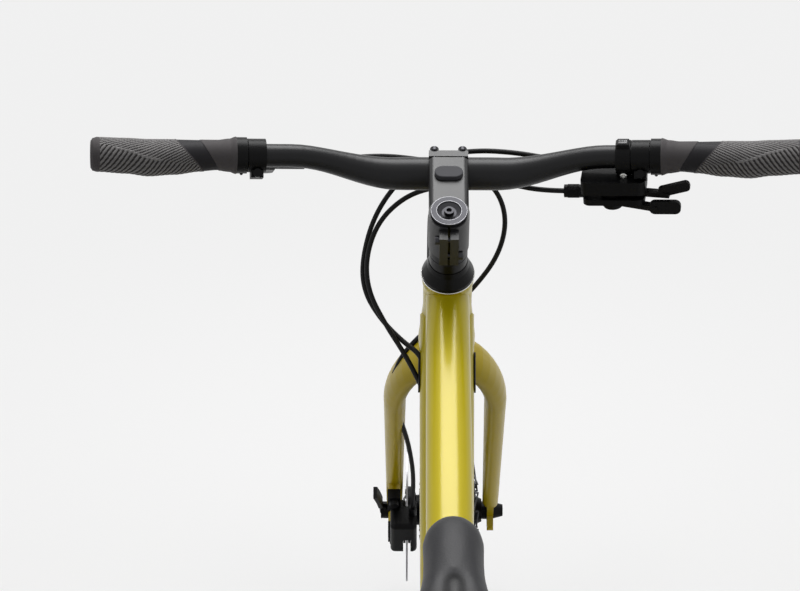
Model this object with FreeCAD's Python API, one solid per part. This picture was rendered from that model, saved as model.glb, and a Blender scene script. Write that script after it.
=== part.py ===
import FreeCAD, Part
import math
import os
from FreeCAD import Matrix, Placement, Rotation, Vector

# Hybrid bicycle in millimetres and degrees: +X forward, +Y to the rider's left, +Z up,
# origin on the ground midway between the wheels.

# Stance
WHEELBASE = 1068.0
CHAINSTAY_LENGTH = 440.0
BRACKET_DROP = 70.0
HEAD_ANGLE = 70.5
SEAT_ANGLE = 73.0
FORK_LENGTH = 380.0
FORK_RAKE = 52.0

# Clearances
SEAT_GAP = 0.05
RUNNING_GAP = 0.08
BODY_GAP = 0.3

# Wheels
TYRE_RADIUS = 346.0
TYRE_WIDTH = 35.0
TYRE_WALL = 2.6
TREAD_THICKNESS = 4.2
BEAD_RADIUS = 311.0
RIM_WIDTH = 26.0
RIM_DEPTH = 18.0
RIM_FLANGE = 6.0
RIM_WALL = 1.7
VALVE_RADIUS = 3.6
VALVE_LENGTH = 46.0
VALVE_ANGLE = 5.625
SPOKES_PER_SIDE = 16
SPOKE_CROSSES = 3
SPOKE_RADIUS = 1.0
NIPPLE_RADIUS = 2.0
NIPPLE_LENGTH = 13.0
FLANGE_RADIUS = 33.0
FLANGE_HOLES_RADIUS = 29.0
FLANGE_THICKNESS = 3.2
HUB_RADIUS = 14.0
HUB_BORE = 9.0
AXLE_RADIUS = 5.0
SKEWER_RADIUS = 2.5
FRONT_HUB_WIDTH = 100.0
FRONT_FLANGE_LEFT = 21.0
FRONT_FLANGE_RIGHT = 35.0
REAR_HUB_WIDTH = 135.0
REAR_FLANGE_LEFT = 33.0
REAR_FLANGE_RIGHT = 19.0
FRONT_ROTOR_PLANE = 39.5
REAR_ROTOR_PLANE = 52.0
NUT_RADIUS = 9.5
NUT_LENGTH = 11.0
QR_LEVER_LENGTH = 46.0
FRONT_QR_ANGLE = 118.0
REAR_QR_ANGLE = 142.0

# Disc brakes
ROTOR_RADIUS = 80.0
ROTOR_THICKNESS = 1.8
ROTOR_BAND = 15.0
ROTOR_ARMS = 6
ROTOR_BOLT_CIRCLE = 22.0
ROTOR_CENTRE_RADIUS = 17.3
CALIPER_LENGTH = 52.0
CALIPER_DEPTH = 38.0
CALIPER_RADIUS = 67.0
CALIPER_SLOT = 8.0
PAD_THICKNESS = 2.4
PAD_GAP = 0.5
POST_SPACING = 74.0
POST_BOLT_RADIUS = 3.0
FRONT_POST_RADIUS = 7.0
REAR_POST_RADIUS = 5.5
REAR_POST_SIDE = 60.3
FRONT_FITTING_SIDE = 33.0
REAR_FITTING_SIDE = 43.5
FITTING_RADIUS = 4.5
FITTING_LENGTH = 14.0
FRONT_CALIPER_BACK = 50.1
REAR_CALIPER_UP = 33.0

# Fork
FORK_HALF_WIDTH = 52.0
BLADE_TOP_HEIGHT = 268.0
CROWN_CLEARANCE = 4.0
CROWN_HALF_HEIGHT = 11.5
CROWN_HALF_DEPTH = 24.0
ARCH_POINT = 1.25
BLADE_FOOT = 26.0
BLADE_TOP_HALF_WIDTH = 11.5
BLADE_TOP_HALF_DEPTH = 20.0
BLADE_TIP_HALF_WIDTH = 8.8
BLADE_TIP_HALF_DEPTH = 11.0
FORK_TIP_THICKNESS = 7.0
TIP_RADIUS = 13.0
CROWN_RACE_RADIUS = 27.5
STEERER_RADIUS = 14.3
STEERER_BASE_RADIUS = 19.9
STEERER_BORE = 12.0
EYELET_RADIUS = 6.0
FORK_EYELET_BACK = 20.0
THREAD_M5 = 2.1

# Head tube and headset
HEAD_TUBE_LENGTH = 108.0
LOWER_RACE_HEIGHT = 4.0
HEAD_TOP_RADIUS = 25.0
HEAD_WAIST_RADIUS = 23.7
HEAD_BASE_RADIUS = 28.0
HEAD_BORE = 20.2
UPPER_BEARING_RADIUS = 20.9
LOWER_BEARING_RADIUS = 26.0
BEARING_HEIGHT = 8.0
COVER_HEIGHT = 20.0
COVER_TOP_RADIUS = 18.8
SPACER_RADIUS = 18.3
SPACER_HEIGHTS = (13.0, 10.0)

# Stem and bar
STEM_LENGTH = 75.0
STEM_DROP_ANGLE = 7.0
STEM_WIDTH = 37.5
STEM_HEIGHT = 44.0
STEM_CLAMP_RADIUS = 19.3
STEM_CLAMP_HEIGHT = 46.0
STEM_CORNER = 5.0
FACEPLATE_WALL = 4.6
FACEPLATE_GAP = 1.5
STEM_BOLT_RADIUS = 2.5
STEM_BOLT_HEAD = 4.3
STEM_BOLT_OFFSET = 13.5
TOP_CAP_RADIUS = 17.3
TOP_CAP_HEIGHT = 4.0
PLUG_BACK = 16.5
PLUG_WIDTH = 27.0
PLUG_LENGTH = 16.0
PLUG_HEIGHT = 4.2
BAR_CLAMP_RADIUS = 15.9
BAR_RADIUS = 11.1
BAR_WALL = 2.2
BAR_HALF_WIDTH = 334.0
BAR_RISE = 19.0
BAR_UPSWEEP = 5.0
BAR_BACKSWEEP = 8.5
BEND_START = 50.0
BEND_END = 150.0
TAPER_START = 40.0
TAPER_END = 130.0

# Controls
GRIP_LENGTH = 134.0
GRIP_RADIUS = 16.5
GRIP_WING = 3.0
GRIP_NECK_RADIUS = 14.6
GRIP_CAP = 3.0
COLLAR_WIDTH = 10.0
COLLAR_RADIUS = 17.3
BRAKE_CLAMP_WIDTH = 17.0
BRAKE_CLAMP_RADIUS = 16.0
MASTER_RADIUS = 10.5
MASTER_LENGTH = 62.0
MASTER_FORWARD = 30.0
BRAKE_TILT = 38.0
LEVER_PIVOT_FORWARD = 48.0
LEVER_PIVOT_INBOARD = 14.0
LEVER_REACH = 112.0
LEVER_THICKNESS = 10.0
LEVER_HUB_RADIUS = 8.0
LEVER_EAR = 4.0
LEVER_PIN_RADIUS = 2.5
SHIFTER_CLAMP_WIDTH = 14.0
SHIFTER_LENGTH = 62.0
SHIFTER_DEPTH = 32.0
SHIFTER_BACK = 5.0
SHIFTER_TOP = 15.0
SHIFTER_DECK = 16.0
PADDLE_THICKNESS = 5.2
PADDLE_HUB_RADIUS = 11.0
PADDLE_ARM_WIDTH = 8.0
PAD_DEPTH = 5.0
RELEASE_PAD_TILT = 15.0
SHIFTER_POST_RADIUS = 5.0
ADJUSTER_RADIUS = 6.3
ADJUSTER_LENGTH = 18.0

# Frame tubes
TUBE_WALL = 2.2
TOP_TUBE_WIDTH = 42.0
TOP_TUBE_HEIGHT = 42.0
TOP_TUBE_REAR_WIDTH = 38.0
TOP_TUBE_REAR_HEIGHT = 34.0
TOP_TUBE_BELOW_RIM = 27.0
TOP_TUBE_ON_SEAT_TUBE = 395.0
DOWN_TUBE_WIDTH = 53.0
DOWN_TUBE_HEIGHT = 50.0
DOWN_TUBE_REAR_WIDTH = 50.0
DOWN_TUBE_REAR_HEIGHT = 44.0
DOWN_TUBE_ABOVE_BASE = 42.0
SEAT_TUBE_RADIUS = 17.8
SEAT_TUBE_LENGTH = 455.0
SEATPOST_RADIUS = 15.8
SEATPOST_LENGTH = 262.0
BRACKET_SHELL_RADIUS = 21.0
BRACKET_SHELL_WIDTH = 68.0
BRACKET_BORE = 17.4
CHAINSTAY_HALF_WIDTH = 6.5
CHAINSTAY_HALF_HEIGHT = 13.0
CHAINSTAY_AT_BRACKET = 27.0
STAY_END_HALF_WIDTH = 7.0
STAY_END_HALF_HEIGHT = 9.0
SEATSTAY_RADIUS = 8.0
SEATSTAY_ON_SEAT_TUBE = 402.0
DROPOUT_THICKNESS = 7.0
DROPOUT_RADIUS = 17.0
STAY_SOCKET = 44.0
BRAKE_RAIL_START = 17.5
HANGER_THICKNESS = 6.0
HANGER_BACK = 8.0
HANGER_DOWN = 28.0
SEAT_COLLAR_RADIUS = 22.0
SEAT_COLLAR_HEIGHT = 14.0
BOSS_RADIUS = 5.0
BOSS_SPACING = 64.0
BOSS_DEPTH = 12.0
BOSS_FROM_BRACKET = 250.0

# Saddle
SADDLE_CLAMP_AT = 522.0
SADDLE_SETBACK = 12.0
SADDLE_LENGTH = 280.0
SADDLE_NOSE_AHEAD = 162.0
SADDLE_NOSE_HALF_WIDTH = 26.0
SADDLE_HALF_WIDTH = 76.0
SADDLE_THICKNESS = 30.0
CHANNEL_RADIUS = 11.0
CHANNEL_DEPTH = 6.0
CHANNEL_START = 0.33
CHANNEL_END = 0.93
SADDLE_BASE_HEIGHT = 26.0
SADDLE_SHELL_THICKNESS = 3.5
RAIL_RADIUS = 3.5
RAIL_HALF_SPACING = 22.0

# Drivetrain
CHAIN_PITCH = 12.7
CHAINLINE = 43.5
CHAIN_INNER_WIDTH = 2.2
PLATE_THICKNESS = 0.9
PLATE_RADIUS = 4.1
PLATE_WAIST = 2.9
ROLLER_RADIUS = 3.85
CHAIN_PIN_RADIUS = 1.8
TOOTH_SEAT = 4.0
TOOTH_TIP = 3.0
TOOTH_THICKNESS = 1.6
CHAINRING_TEETH = 40
COG_TEETH = (11, 13, 15, 17, 20, 23, 26, 30, 34)
CHAIN_COG = 4
COG_SPACING = 4.34
FREEHUB_RADIUS = 17.0
COG_WINDOWS = 8
COG_WINDOW_START = 24.0
COG_ARM = 4.0
PULLEY_TEETH = 11
CAGE_LENGTH = 90.0
GUIDE_FORWARD = 6.0
GUIDE_DOWN = 84.0
CAGE_PLATE = 1.8
CAGE_HALF_GAP = 5.0
CAGE_RADIUS = 13.0
PULLEY_BOLT_RADIUS = 2.5
LINK_LENGTH = 38.0
LINK_SPACING = 15.0
LINK_SLANT = 40.0
LINK_BACK = 24.0
LINK_DOWN = 56.0
LINK_OUT = 80.0
LINK_HALF_THICKNESS = 6.0
LINK_RADIUS = 5.0
LINK_PIN_RADIUS = 2.0
CRANK_LENGTH = 170.0
CRANK_THICKNESS = 13.0
CRANK_FACE = 61.0
CRANK_HUB_RADIUS = 18.0
CRANK_EYE_RADIUS = 13.0
SPINDLE_RADIUS = 12.0
BRACKET_CUP_RADIUS = 20.5
BRACKET_CUP_WIDTH = 10.0
CHAINRING_BOLT_CIRCLE = 52.0
CHAINRING_BOLTS = 4
CHAINRING_BOLT_RADIUS = 4.0
PEDAL_SPINDLE_RADIUS = 6.5
PEDAL_LENGTH = 92.0
PEDAL_DEPTH = 78.0
PEDAL_HEIGHT = 22.0
PEDAL_RIM = 9.0
PEDAL_BARREL_RADIUS = 11.0

# Hoses and cable housing
HOSE_RADIUS = 2.5
HOSE_ROOM = 0.6
PORT_LENGTH = 40.0
PORT_THICKNESS = 1.6
PORT_FROM_HEAD = 57.0
HOSE_SEAT_DEPTH = 8.0
HOSE_LEAD = 30.0

# Derived places
X_AXIS = Vector(1, 0, 0)
Y_AXIS = Vector(0, 1, 0)
Z_AXIS = Vector(0, 0, 1)
REAR = Vector(-WHEELBASE / 2, 0, TYRE_RADIUS)
FRONT = Vector(WHEELBASE / 2, 0, TYRE_RADIUS)
BRACKET = REAR + Vector(math.sqrt(CHAINSTAY_LENGTH**2 - BRACKET_DROP**2), 0, -BRACKET_DROP)
TILT = math.radians(HEAD_ANGLE)
STEER_UP = Vector(-math.cos(TILT), 0, math.sin(TILT))
STEER_AHEAD = Vector(math.sin(TILT), 0, math.cos(TILT))
STEER_FOOT = FRONT - STEER_AHEAD * FORK_RAKE
STEER = Placement(STEER_FOOT, Rotation(Y_AXIS, HEAD_ANGLE - 90))
SEAT_UP = Vector(-math.cos(math.radians(SEAT_ANGLE)), 0, math.sin(math.radians(SEAT_ANGLE)))
STAY_LINE = (BRACKET - REAR).normalize()
HEAD_BASE = FORK_LENGTH + LOWER_RACE_HEIGHT
HEAD_TOP = HEAD_BASE + HEAD_TUBE_LENGTH
COVER_BASE = HEAD_TOP + BODY_GAP
SPACER_BASE = COVER_BASE + COVER_HEIGHT
CLAMP_BASE = SPACER_BASE + sum(SPACER_HEIGHTS)
CLAMP_TOP = CLAMP_BASE + STEM_CLAMP_HEIGHT
STEM_LEVEL = CLAMP_BASE + STEM_CLAMP_HEIGHT * 0.55
DROP = math.radians(STEM_DROP_ANGLE)
STEM_LINE = Vector(math.cos(DROP), 0, -math.sin(DROP))
STEM_NORMAL = Vector(math.sin(DROP), 0, math.cos(DROP))
BAR_LOCAL = Vector(0, 0, STEM_LEVEL) + STEM_LINE * STEM_LENGTH
BAR_CENTRE = STEER.multVec(BAR_LOCAL)
RIM_INNER = BEAD_RADIUS - RIM_DEPTH
CLAMP_POINT = BRACKET + SEAT_UP * SADDLE_CLAMP_AT - X_AXIS * SADDLE_SETBACK
NOSE_X = CLAMP_POINT.x + SADDLE_NOSE_AHEAD
SADDLE_BASE = CLAMP_POINT.z + SADDLE_BASE_HEIGHT


# Shape helpers

def rod(start, end, radius):
    """Cylinder between two points."""
    return Part.makeCylinder(radius, (end - start).Length, start, end - start)


def cone(start, end, start_radius, end_radius):
    """Cone frustum between two points."""
    return Part.makeCone(start_radius, end_radius, (end - start).Length, start, end - start)


def across(centre, low, high, radius):
    """Cylinder along Y through a point, between two Y values."""
    return rod(Vector(centre.x, low, centre.z), Vector(centre.x, high, centre.z), radius)


def block(low, high):
    """Box between two opposite corners."""
    return Part.makeBox(high.x - low.x, high.y - low.y, high.z - low.z, low)


def merged(shapes):
    """One solid from touching shapes."""
    return shapes[0].fuse(shapes[1:]).removeSplitter()


def outward(solid):
    """The same solid with its faces pointing outwards."""
    if solid.Volume < 0:
        solid.reverse()
    return solid


def turned(profile, base=Vector(), axis=Z_AXIS):
    """Solid of revolution from (radius, height) corners."""
    points = [Vector(radius, 0, height) for radius, height in profile]
    face = Part.Face(Part.makePolygon(points + points[:1]))
    solid = outward(face.revolve(Vector(), Z_AXIS, 360))
    solid.Placement = Placement(base, Rotation(Z_AXIS, axis))
    return solid


def placed(shape, placement):
    """A copy of a shape in another frame."""
    copy = shape.copy()
    copy.Placement = placement.multiply(copy.Placement)
    return copy


def steered(shape):
    """A shape drawn on the steering axis, put in its place on the bike."""
    return placed(shape, STEER)


def mirrored(shape):
    """A shape on the other side of the bike's middle plane."""
    return shape.mirror(Vector(), Y_AXIS)


def spun(shape, centre, axis, angle):
    """A copy turned about an axis, in degrees."""
    copy = shape.copy()
    copy.rotate(centre, axis, angle)
    return copy


def section(centre, side, up, half_width, half_height, squareness=2.0, count=16):
    """Closed smooth outline, an ellipse at squareness 2 and boxier above it."""
    points = []
    for index in range(count):
        angle = 2 * math.pi * index / count
        across_part = math.copysign(abs(math.cos(angle)) ** (2 / squareness), math.cos(angle))
        up_part = math.copysign(abs(math.sin(angle)) ** (2 / squareness), math.sin(angle))
        points.append(centre + side * (half_width * across_part) + up * (half_height * up_part))
    curve = Part.BSplineCurve()
    curve.interpolate(points, PeriodicFlag=True)
    return Part.Wire(curve.toShape())


def lofted(wires):
    """Solid through closed outlines, straight from each to the next."""
    return outward(Part.makeLoft(wires, True, True))


def eased(stations, steps):
    """Rows of numbers with smooth steps added between them; the first number runs evenly."""
    rows = [stations[0]]
    for before, after in zip(stations, stations[1:]):
        for index in range(1, steps + 1):
            share = index / steps
            blend = share * share * (3 - 2 * share)
            place = before[0] + (after[0] - before[0]) * share
            rows.append((place,) + tuple(a + (b - a) * blend for a, b in zip(before[1:], after[1:])))
    return rows


def bone_outline(first, first_radius, second, second_radius):
    """Outline in the XZ plane round two circles and their tangents."""
    line = second - first
    heading = math.atan2(line.z, line.x)
    spread = math.acos((first_radius - second_radius) / line.Length)

    def on(centre, radius, angle):
        return centre + Vector(math.cos(angle), 0, math.sin(angle)) * radius

    start = on(first, first_radius, heading + spread)
    back = on(first, first_radius, heading + math.pi)
    end = on(first, first_radius, heading - spread)
    far_start = on(second, second_radius, heading - spread)
    tip = on(second, second_radius, heading)
    far_end = on(second, second_radius, heading + spread)
    edges = [Part.Arc(start, back, end).toShape(), Part.LineSegment(end, far_start).toShape(),
             Part.Arc(far_start, tip, far_end).toShape(), Part.LineSegment(far_end, start).toShape()]
    return Part.Wire(edges)


def bone(first, first_radius, second, second_radius, low, high):
    """Flat arm round two circles in the XZ plane, from Y low to Y high."""
    lift = Vector(0, low, 0)
    outline = bone_outline(Vector(first.x, 0, first.z), first_radius,
                           Vector(second.x, 0, second.z), second_radius)
    solid = outward(Part.Face(outline).extrude(Vector(0, high - low, 0)))
    solid.translate(lift)
    return solid


def route_wire(points):
    """Straight runs joined by tangent arcs as large as the runs allow, and the smallest radius."""
    edges = []
    start = points[0]
    tightest = 1e9
    for before, corner, after in zip(points, points[1:], points[2:]):
        back = (before - corner).normalize()
        ahead = (after - corner).normalize()
        reach = 0.45 * min((before - corner).Length, (after - corner).Length)
        half_turn = (math.pi - back.getAngle(ahead)) / 2
        radius = reach / math.tan(half_turn)
        tightest = min(tightest, radius)
        middle = (back + ahead).normalize() * (radius / math.cos(half_turn) - radius)
        edges.append(Part.LineSegment(start, corner + back * reach).toShape())
        edges.append(Part.Arc(corner + back * reach, corner + middle, corner + ahead * reach).toShape())
        start = corner + ahead * reach
    edges.append(Part.LineSegment(start, points[-1]).toShape())
    return Part.Wire(edges), tightest


def tube_along(points, radius):
    """Round cord or rod along a route."""
    wire, tightest = route_wire(points)
    circle = Part.Wire(Part.makeCircle(radius, points[0], points[1] - points[0]))
    return outward(wire.makePipeShell([circle], True, False)), wire.Length, tightest


def save(node, *shapes):
    """Write one named piece, or a group of like pieces, to its file."""
    solids = [solid for shape in shapes for solid in shape.Solids]
    whole = solids[0] if len(solids) == 1 else Part.makeCompound(solids)
    whole.exportStep(f"parts/{node}.step")
    print(f"{node:24s} {len(solids):4d} valid {whole.isValid()} volume {whole.Volume:.0f}")


# Frame

def head_profile(growth):
    """Outer corners of the head tube from its base up, waisted below the top rim."""
    corners = [(HEAD_BASE_RADIUS, HEAD_BASE), (HEAD_BASE_RADIUS, HEAD_BASE + 0.1 * HEAD_TUBE_LENGTH)]
    waist_low, waist_high = 0.55, 0.84
    for share in (0.3, 0.45, waist_low, 0.7, waist_high):
        blend = min(1.0, (share - 0.1) / (waist_low - 0.1))
        radius = HEAD_BASE_RADIUS + (HEAD_WAIST_RADIUS - HEAD_BASE_RADIUS) * blend
        corners.append((radius, HEAD_BASE + share * HEAD_TUBE_LENGTH))
    corners.append((HEAD_TOP_RADIUS, HEAD_BASE + 0.93 * HEAD_TUBE_LENGTH))
    corners.append((HEAD_TOP_RADIUS, HEAD_TOP))
    return [(radius + growth, height) for radius, height in corners]


def head_envelope(growth):
    """The head tube as a full solid, to cut neighbouring tubes to it."""
    profile = head_profile(growth)
    return steered(turned([(0, HEAD_BASE)] + profile + [(0, HEAD_TOP)]))


def make_head_tube():
    upper_seat = HEAD_TOP - BEARING_HEIGHT - 1
    lower_seat = HEAD_BASE + BEARING_HEIGHT + 1
    bore = [(UPPER_BEARING_RADIUS + SEAT_GAP, HEAD_TOP), (UPPER_BEARING_RADIUS + SEAT_GAP, upper_seat),
            (HEAD_BORE - 2, upper_seat), (HEAD_BORE - 2, HEAD_TOP - 0.4 * HEAD_TUBE_LENGTH),
            (HEAD_BORE, lower_seat), (LOWER_BEARING_RADIUS + SEAT_GAP, lower_seat),
            (LOWER_BEARING_RADIUS + SEAT_GAP, HEAD_BASE)]
    return steered(turned(head_profile(0) + bore))


def make_bearings():
    """Two headset bearings and two bottom bracket cups."""
    upper = turned([(STEERER_RADIUS + RUNNING_GAP, HEAD_TOP - BEARING_HEIGHT - 0.9),
                    (UPPER_BEARING_RADIUS, HEAD_TOP - BEARING_HEIGHT - 0.9),
                    (UPPER_BEARING_RADIUS, HEAD_TOP - 0.9), (STEERER_RADIUS + RUNNING_GAP, HEAD_TOP - 0.9)])
    lower = turned([(STEERER_BASE_RADIUS + RUNNING_GAP, HEAD_BASE + 0.9),
                    (LOWER_BEARING_RADIUS, HEAD_BASE + 0.9),
                    (LOWER_BEARING_RADIUS, HEAD_BASE + BEARING_HEIGHT + 0.9),
                    (STEERER_BASE_RADIUS + RUNNING_GAP, HEAD_BASE + BEARING_HEIGHT + 0.9)])
    shell_face = BRACKET_SHELL_WIDTH / 2
    bore = SPINDLE_RADIUS + RUNNING_GAP
    cup = turned([(bore, shell_face - 14), (BRACKET_BORE - SEAT_GAP, shell_face - 14),
                  (BRACKET_BORE - SEAT_GAP, shell_face), (BRACKET_CUP_RADIUS, shell_face),
                  (BRACKET_CUP_RADIUS, shell_face + BRACKET_CUP_WIDTH),
                  (bore, shell_face + BRACKET_CUP_WIDTH)], BRACKET, Y_AXIS)
    return [steered(upper), steered(lower), cup, mirrored(cup)]


def tube_sections(start, end, stations, thinner):
    """Outlines along a frame tube: (share of length, width, height, squareness)."""
    line = (end - start).normalize()
    up = line.cross(Y_AXIS).normalize()
    if up.z < 0:
        up = up * -1
    wires = []
    for share, width, height, squareness in eased(stations, 4):
        centre = start + (end - start) * share
        wires.append(section(centre, Y_AXIS, up, width / 2 - thinner, height / 2 - thinner, squareness))
    return wires


TOP_TUBE_FRONT = STEER.multVec(Vector(0, 0, HEAD_TOP - TOP_TUBE_BELOW_RIM))
TOP_TUBE_REAR = BRACKET + SEAT_UP * TOP_TUBE_ON_SEAT_TUBE
DOWN_TUBE_FRONT = STEER.multVec(Vector(0, 0, HEAD_BASE + DOWN_TUBE_ABOVE_BASE))
TOP_TUBE_STATIONS = ((0, TOP_TUBE_WIDTH, TOP_TUBE_HEIGHT, 2.3),
                     (0.12, TOP_TUBE_WIDTH, TOP_TUBE_HEIGHT, 2.5),
                     (0.5, TOP_TUBE_WIDTH, (TOP_TUBE_HEIGHT + TOP_TUBE_REAR_HEIGHT) / 2, 2.6),
                     (0.8, TOP_TUBE_WIDTH - 1, TOP_TUBE_REAR_HEIGHT, 2.5),
                     (1, TOP_TUBE_REAR_WIDTH, TOP_TUBE_REAR_HEIGHT, 2.2))
DOWN_TUBE_STATIONS = ((0, DOWN_TUBE_WIDTH, DOWN_TUBE_HEIGHT, 2.2),
                      (0.15, DOWN_TUBE_WIDTH, DOWN_TUBE_HEIGHT, 2.4),
                      (0.6, DOWN_TUBE_REAR_WIDTH, DOWN_TUBE_REAR_HEIGHT + 4, 2.4),
                      (1, DOWN_TUBE_REAR_WIDTH, DOWN_TUBE_REAR_HEIGHT, 2.2))


def top_tube_body(thinner=0.0):
    return lofted(tube_sections(TOP_TUBE_FRONT, TOP_TUBE_REAR, TOP_TUBE_STATIONS, thinner))


def down_tube_body(thinner=0.0):
    return lofted(tube_sections(DOWN_TUBE_FRONT, BRACKET, DOWN_TUBE_STATIONS, thinner))


def seat_tube_body(growth=0.0):
    return rod(BRACKET, BRACKET + SEAT_UP * SEAT_TUBE_LENGTH, SEAT_TUBE_RADIUS + growth)


def bracket_body(growth=0.0):
    half = BRACKET_SHELL_WIDTH / 2
    return across(BRACKET, -half, half, BRACKET_SHELL_RADIUS + growth)


def make_top_tube():
    body = top_tube_body().cut(top_tube_body(TUBE_WALL))
    return body.cut([head_envelope(SEAT_GAP), seat_tube_body(SEAT_GAP), down_tube_body(-SEAT_GAP)])


def boss_axis():
    """Direction of the bottle bosses, square to the down tube and up into the main triangle."""
    line = (DOWN_TUBE_FRONT - BRACKET).normalize()
    return Vector(-line.z, 0, line.x)


def boss_seats():
    """Mouths of the two bottle bosses on the down tube."""
    line = (DOWN_TUBE_FRONT - BRACKET).normalize()
    out = boss_axis()
    seats = []
    for step in (0, BOSS_SPACING):
        seats.append(BRACKET + line * (BOSS_FROM_BRACKET + step) + out * (DOWN_TUBE_HEIGHT / 2 + 1))
    return seats


def make_down_tube(hose_room):
    body = down_tube_body().cut(down_tube_body(TUBE_WALL))
    out = boss_axis()
    bosses = [rod(seat, seat - out * BOSS_DEPTH, BOSS_RADIUS) for seat in boss_seats()]
    holes = [rod(seat + out, seat - out * (BOSS_DEPTH + 1), THREAD_M5) for seat in boss_seats()]
    body = merged([body] + bosses).cut(holes)
    cutters = [head_envelope(SEAT_GAP), seat_tube_body(SEAT_GAP), bracket_body(SEAT_GAP)]
    return largest(body.cut(cutters + hose_room))


def largest(shape):
    """The biggest solid of a shape."""
    return max(shape.Solids, key=lambda solid: solid.Volume)


def make_seat_tube():
    bore = rod(BRACKET, BRACKET + SEAT_UP * (SEAT_TUBE_LENGTH + 1), SEATPOST_RADIUS + SEAT_GAP)
    top = BRACKET + SEAT_UP * (SEAT_TUBE_LENGTH - 30)
    slot_end = BRACKET + SEAT_UP * (SEAT_TUBE_LENGTH + 1)
    slot = rod(top, slot_end, 1.2)
    slot.translate(-X_AXIS * SEAT_TUBE_RADIUS)
    return largest(seat_tube_body().cut([bore, bracket_body(SEAT_GAP), slot]))


def make_bracket_shell():
    half = BRACKET_SHELL_WIDTH / 2 + 1
    return bracket_body().cut(across(BRACKET, -half, half, BRACKET_BORE))


def stay_point(forward, side, up):
    """A point given along the chainstay line from the rear axle."""
    return REAR + STAY_LINE * forward + Y_AXIS * side + Vector(-STAY_LINE.z, 0, STAY_LINE.x) * up


REAR_FACE = REAR_HUB_WIDTH / 2
STAY_END_SIDE = REAR_FACE + DROPOUT_THICKNESS / 2


def chainstay_body(growth=0.0):
    """Left chainstay, swinging out round the tyre."""
    up = Vector(-STAY_LINE.z, 0, STAY_LINE.x)
    full = CHAINSTAY_LENGTH
    stations = ((STAY_SOCKET + SEAT_GAP, STAY_END_SIDE, STAY_END_HALF_WIDTH, STAY_END_HALF_HEIGHT),
                (0.28 * full, 0.89 * STAY_END_SIDE, STAY_END_HALF_WIDTH, STAY_END_HALF_HEIGHT),
                (0.5 * full, 0.66 * STAY_END_SIDE, STAY_END_HALF_WIDTH, 0.5 * STAY_END_HALF_HEIGHT
                 + 0.5 * CHAINSTAY_HALF_HEIGHT),
                (0.76 * full, 1.12 * CHAINSTAY_AT_BRACKET, CHAINSTAY_HALF_WIDTH, CHAINSTAY_HALF_HEIGHT),
                (full, CHAINSTAY_AT_BRACKET, CHAINSTAY_HALF_WIDTH, CHAINSTAY_HALF_HEIGHT))
    wires = []
    for forward, side, half_width, half_height in eased(stations, 5):
        wires.append(section(stay_point(forward, side, 0), Y_AXIS, up, half_width + growth,
                             half_height + growth, 2.2))
    return lofted(wires)


SEATSTAY_TOP = BRACKET + SEAT_UP * SEATSTAY_ON_SEAT_TUBE + Y_AXIS * (SEAT_TUBE_RADIUS + SEATSTAY_RADIUS - 1.2)
SEATSTAY_LINE = (Vector(SEATSTAY_TOP.x, 0, SEATSTAY_TOP.z) - REAR).normalize()


def seatstay_body():
    """Left seatstay, from the dropout to the side of the seat tube."""
    base = REAR + SEATSTAY_LINE * (STAY_SOCKET + SEAT_GAP) + Y_AXIS * STAY_END_SIDE
    middle = base + (SEATSTAY_TOP - base) * 0.5 + Y_AXIS * 4
    wires = []
    for centre, radius in ((base, SEATSTAY_RADIUS - 1), (middle, SEATSTAY_RADIUS),
                           (SEATSTAY_TOP, SEATSTAY_RADIUS)):
        up = SEATSTAY_LINE.cross(Y_AXIS).normalize()
        wires.append(section(centre, Y_AXIS, up, radius, radius))
    return lofted(wires)


def make_stays(post_holes):
    """Chainstays, the left one drilled for the brake bolts, seatstays and the bridge between them."""
    chainstay = largest(chainstay_body().cut([bracket_body(SEAT_GAP), seat_tube_body(SEAT_GAP)]))
    seatstay = largest(seatstay_body().cut([seat_tube_body(SEAT_GAP), top_tube_body(-SEAT_GAP)]))
    base = REAR + SEATSTAY_LINE * (STAY_SOCKET + SEAT_GAP) + Y_AXIS * STAY_END_SIDE
    level = base + (SEATSTAY_TOP - base) * 0.86
    bridge = across(level, -level.y, level.y, 0.75 * SEATSTAY_RADIUS)
    bridge = largest(bridge.cut([seatstay_body(), mirrored(seatstay_body())]))
    return [chainstay.cut(post_holes), mirrored(chainstay), seatstay, mirrored(seatstay), bridge]


def rack_eyelet():
    """Middle of the rack eyelet on the left dropout."""
    return REAR + Vector(-10, REAR_FACE, 24)


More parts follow.
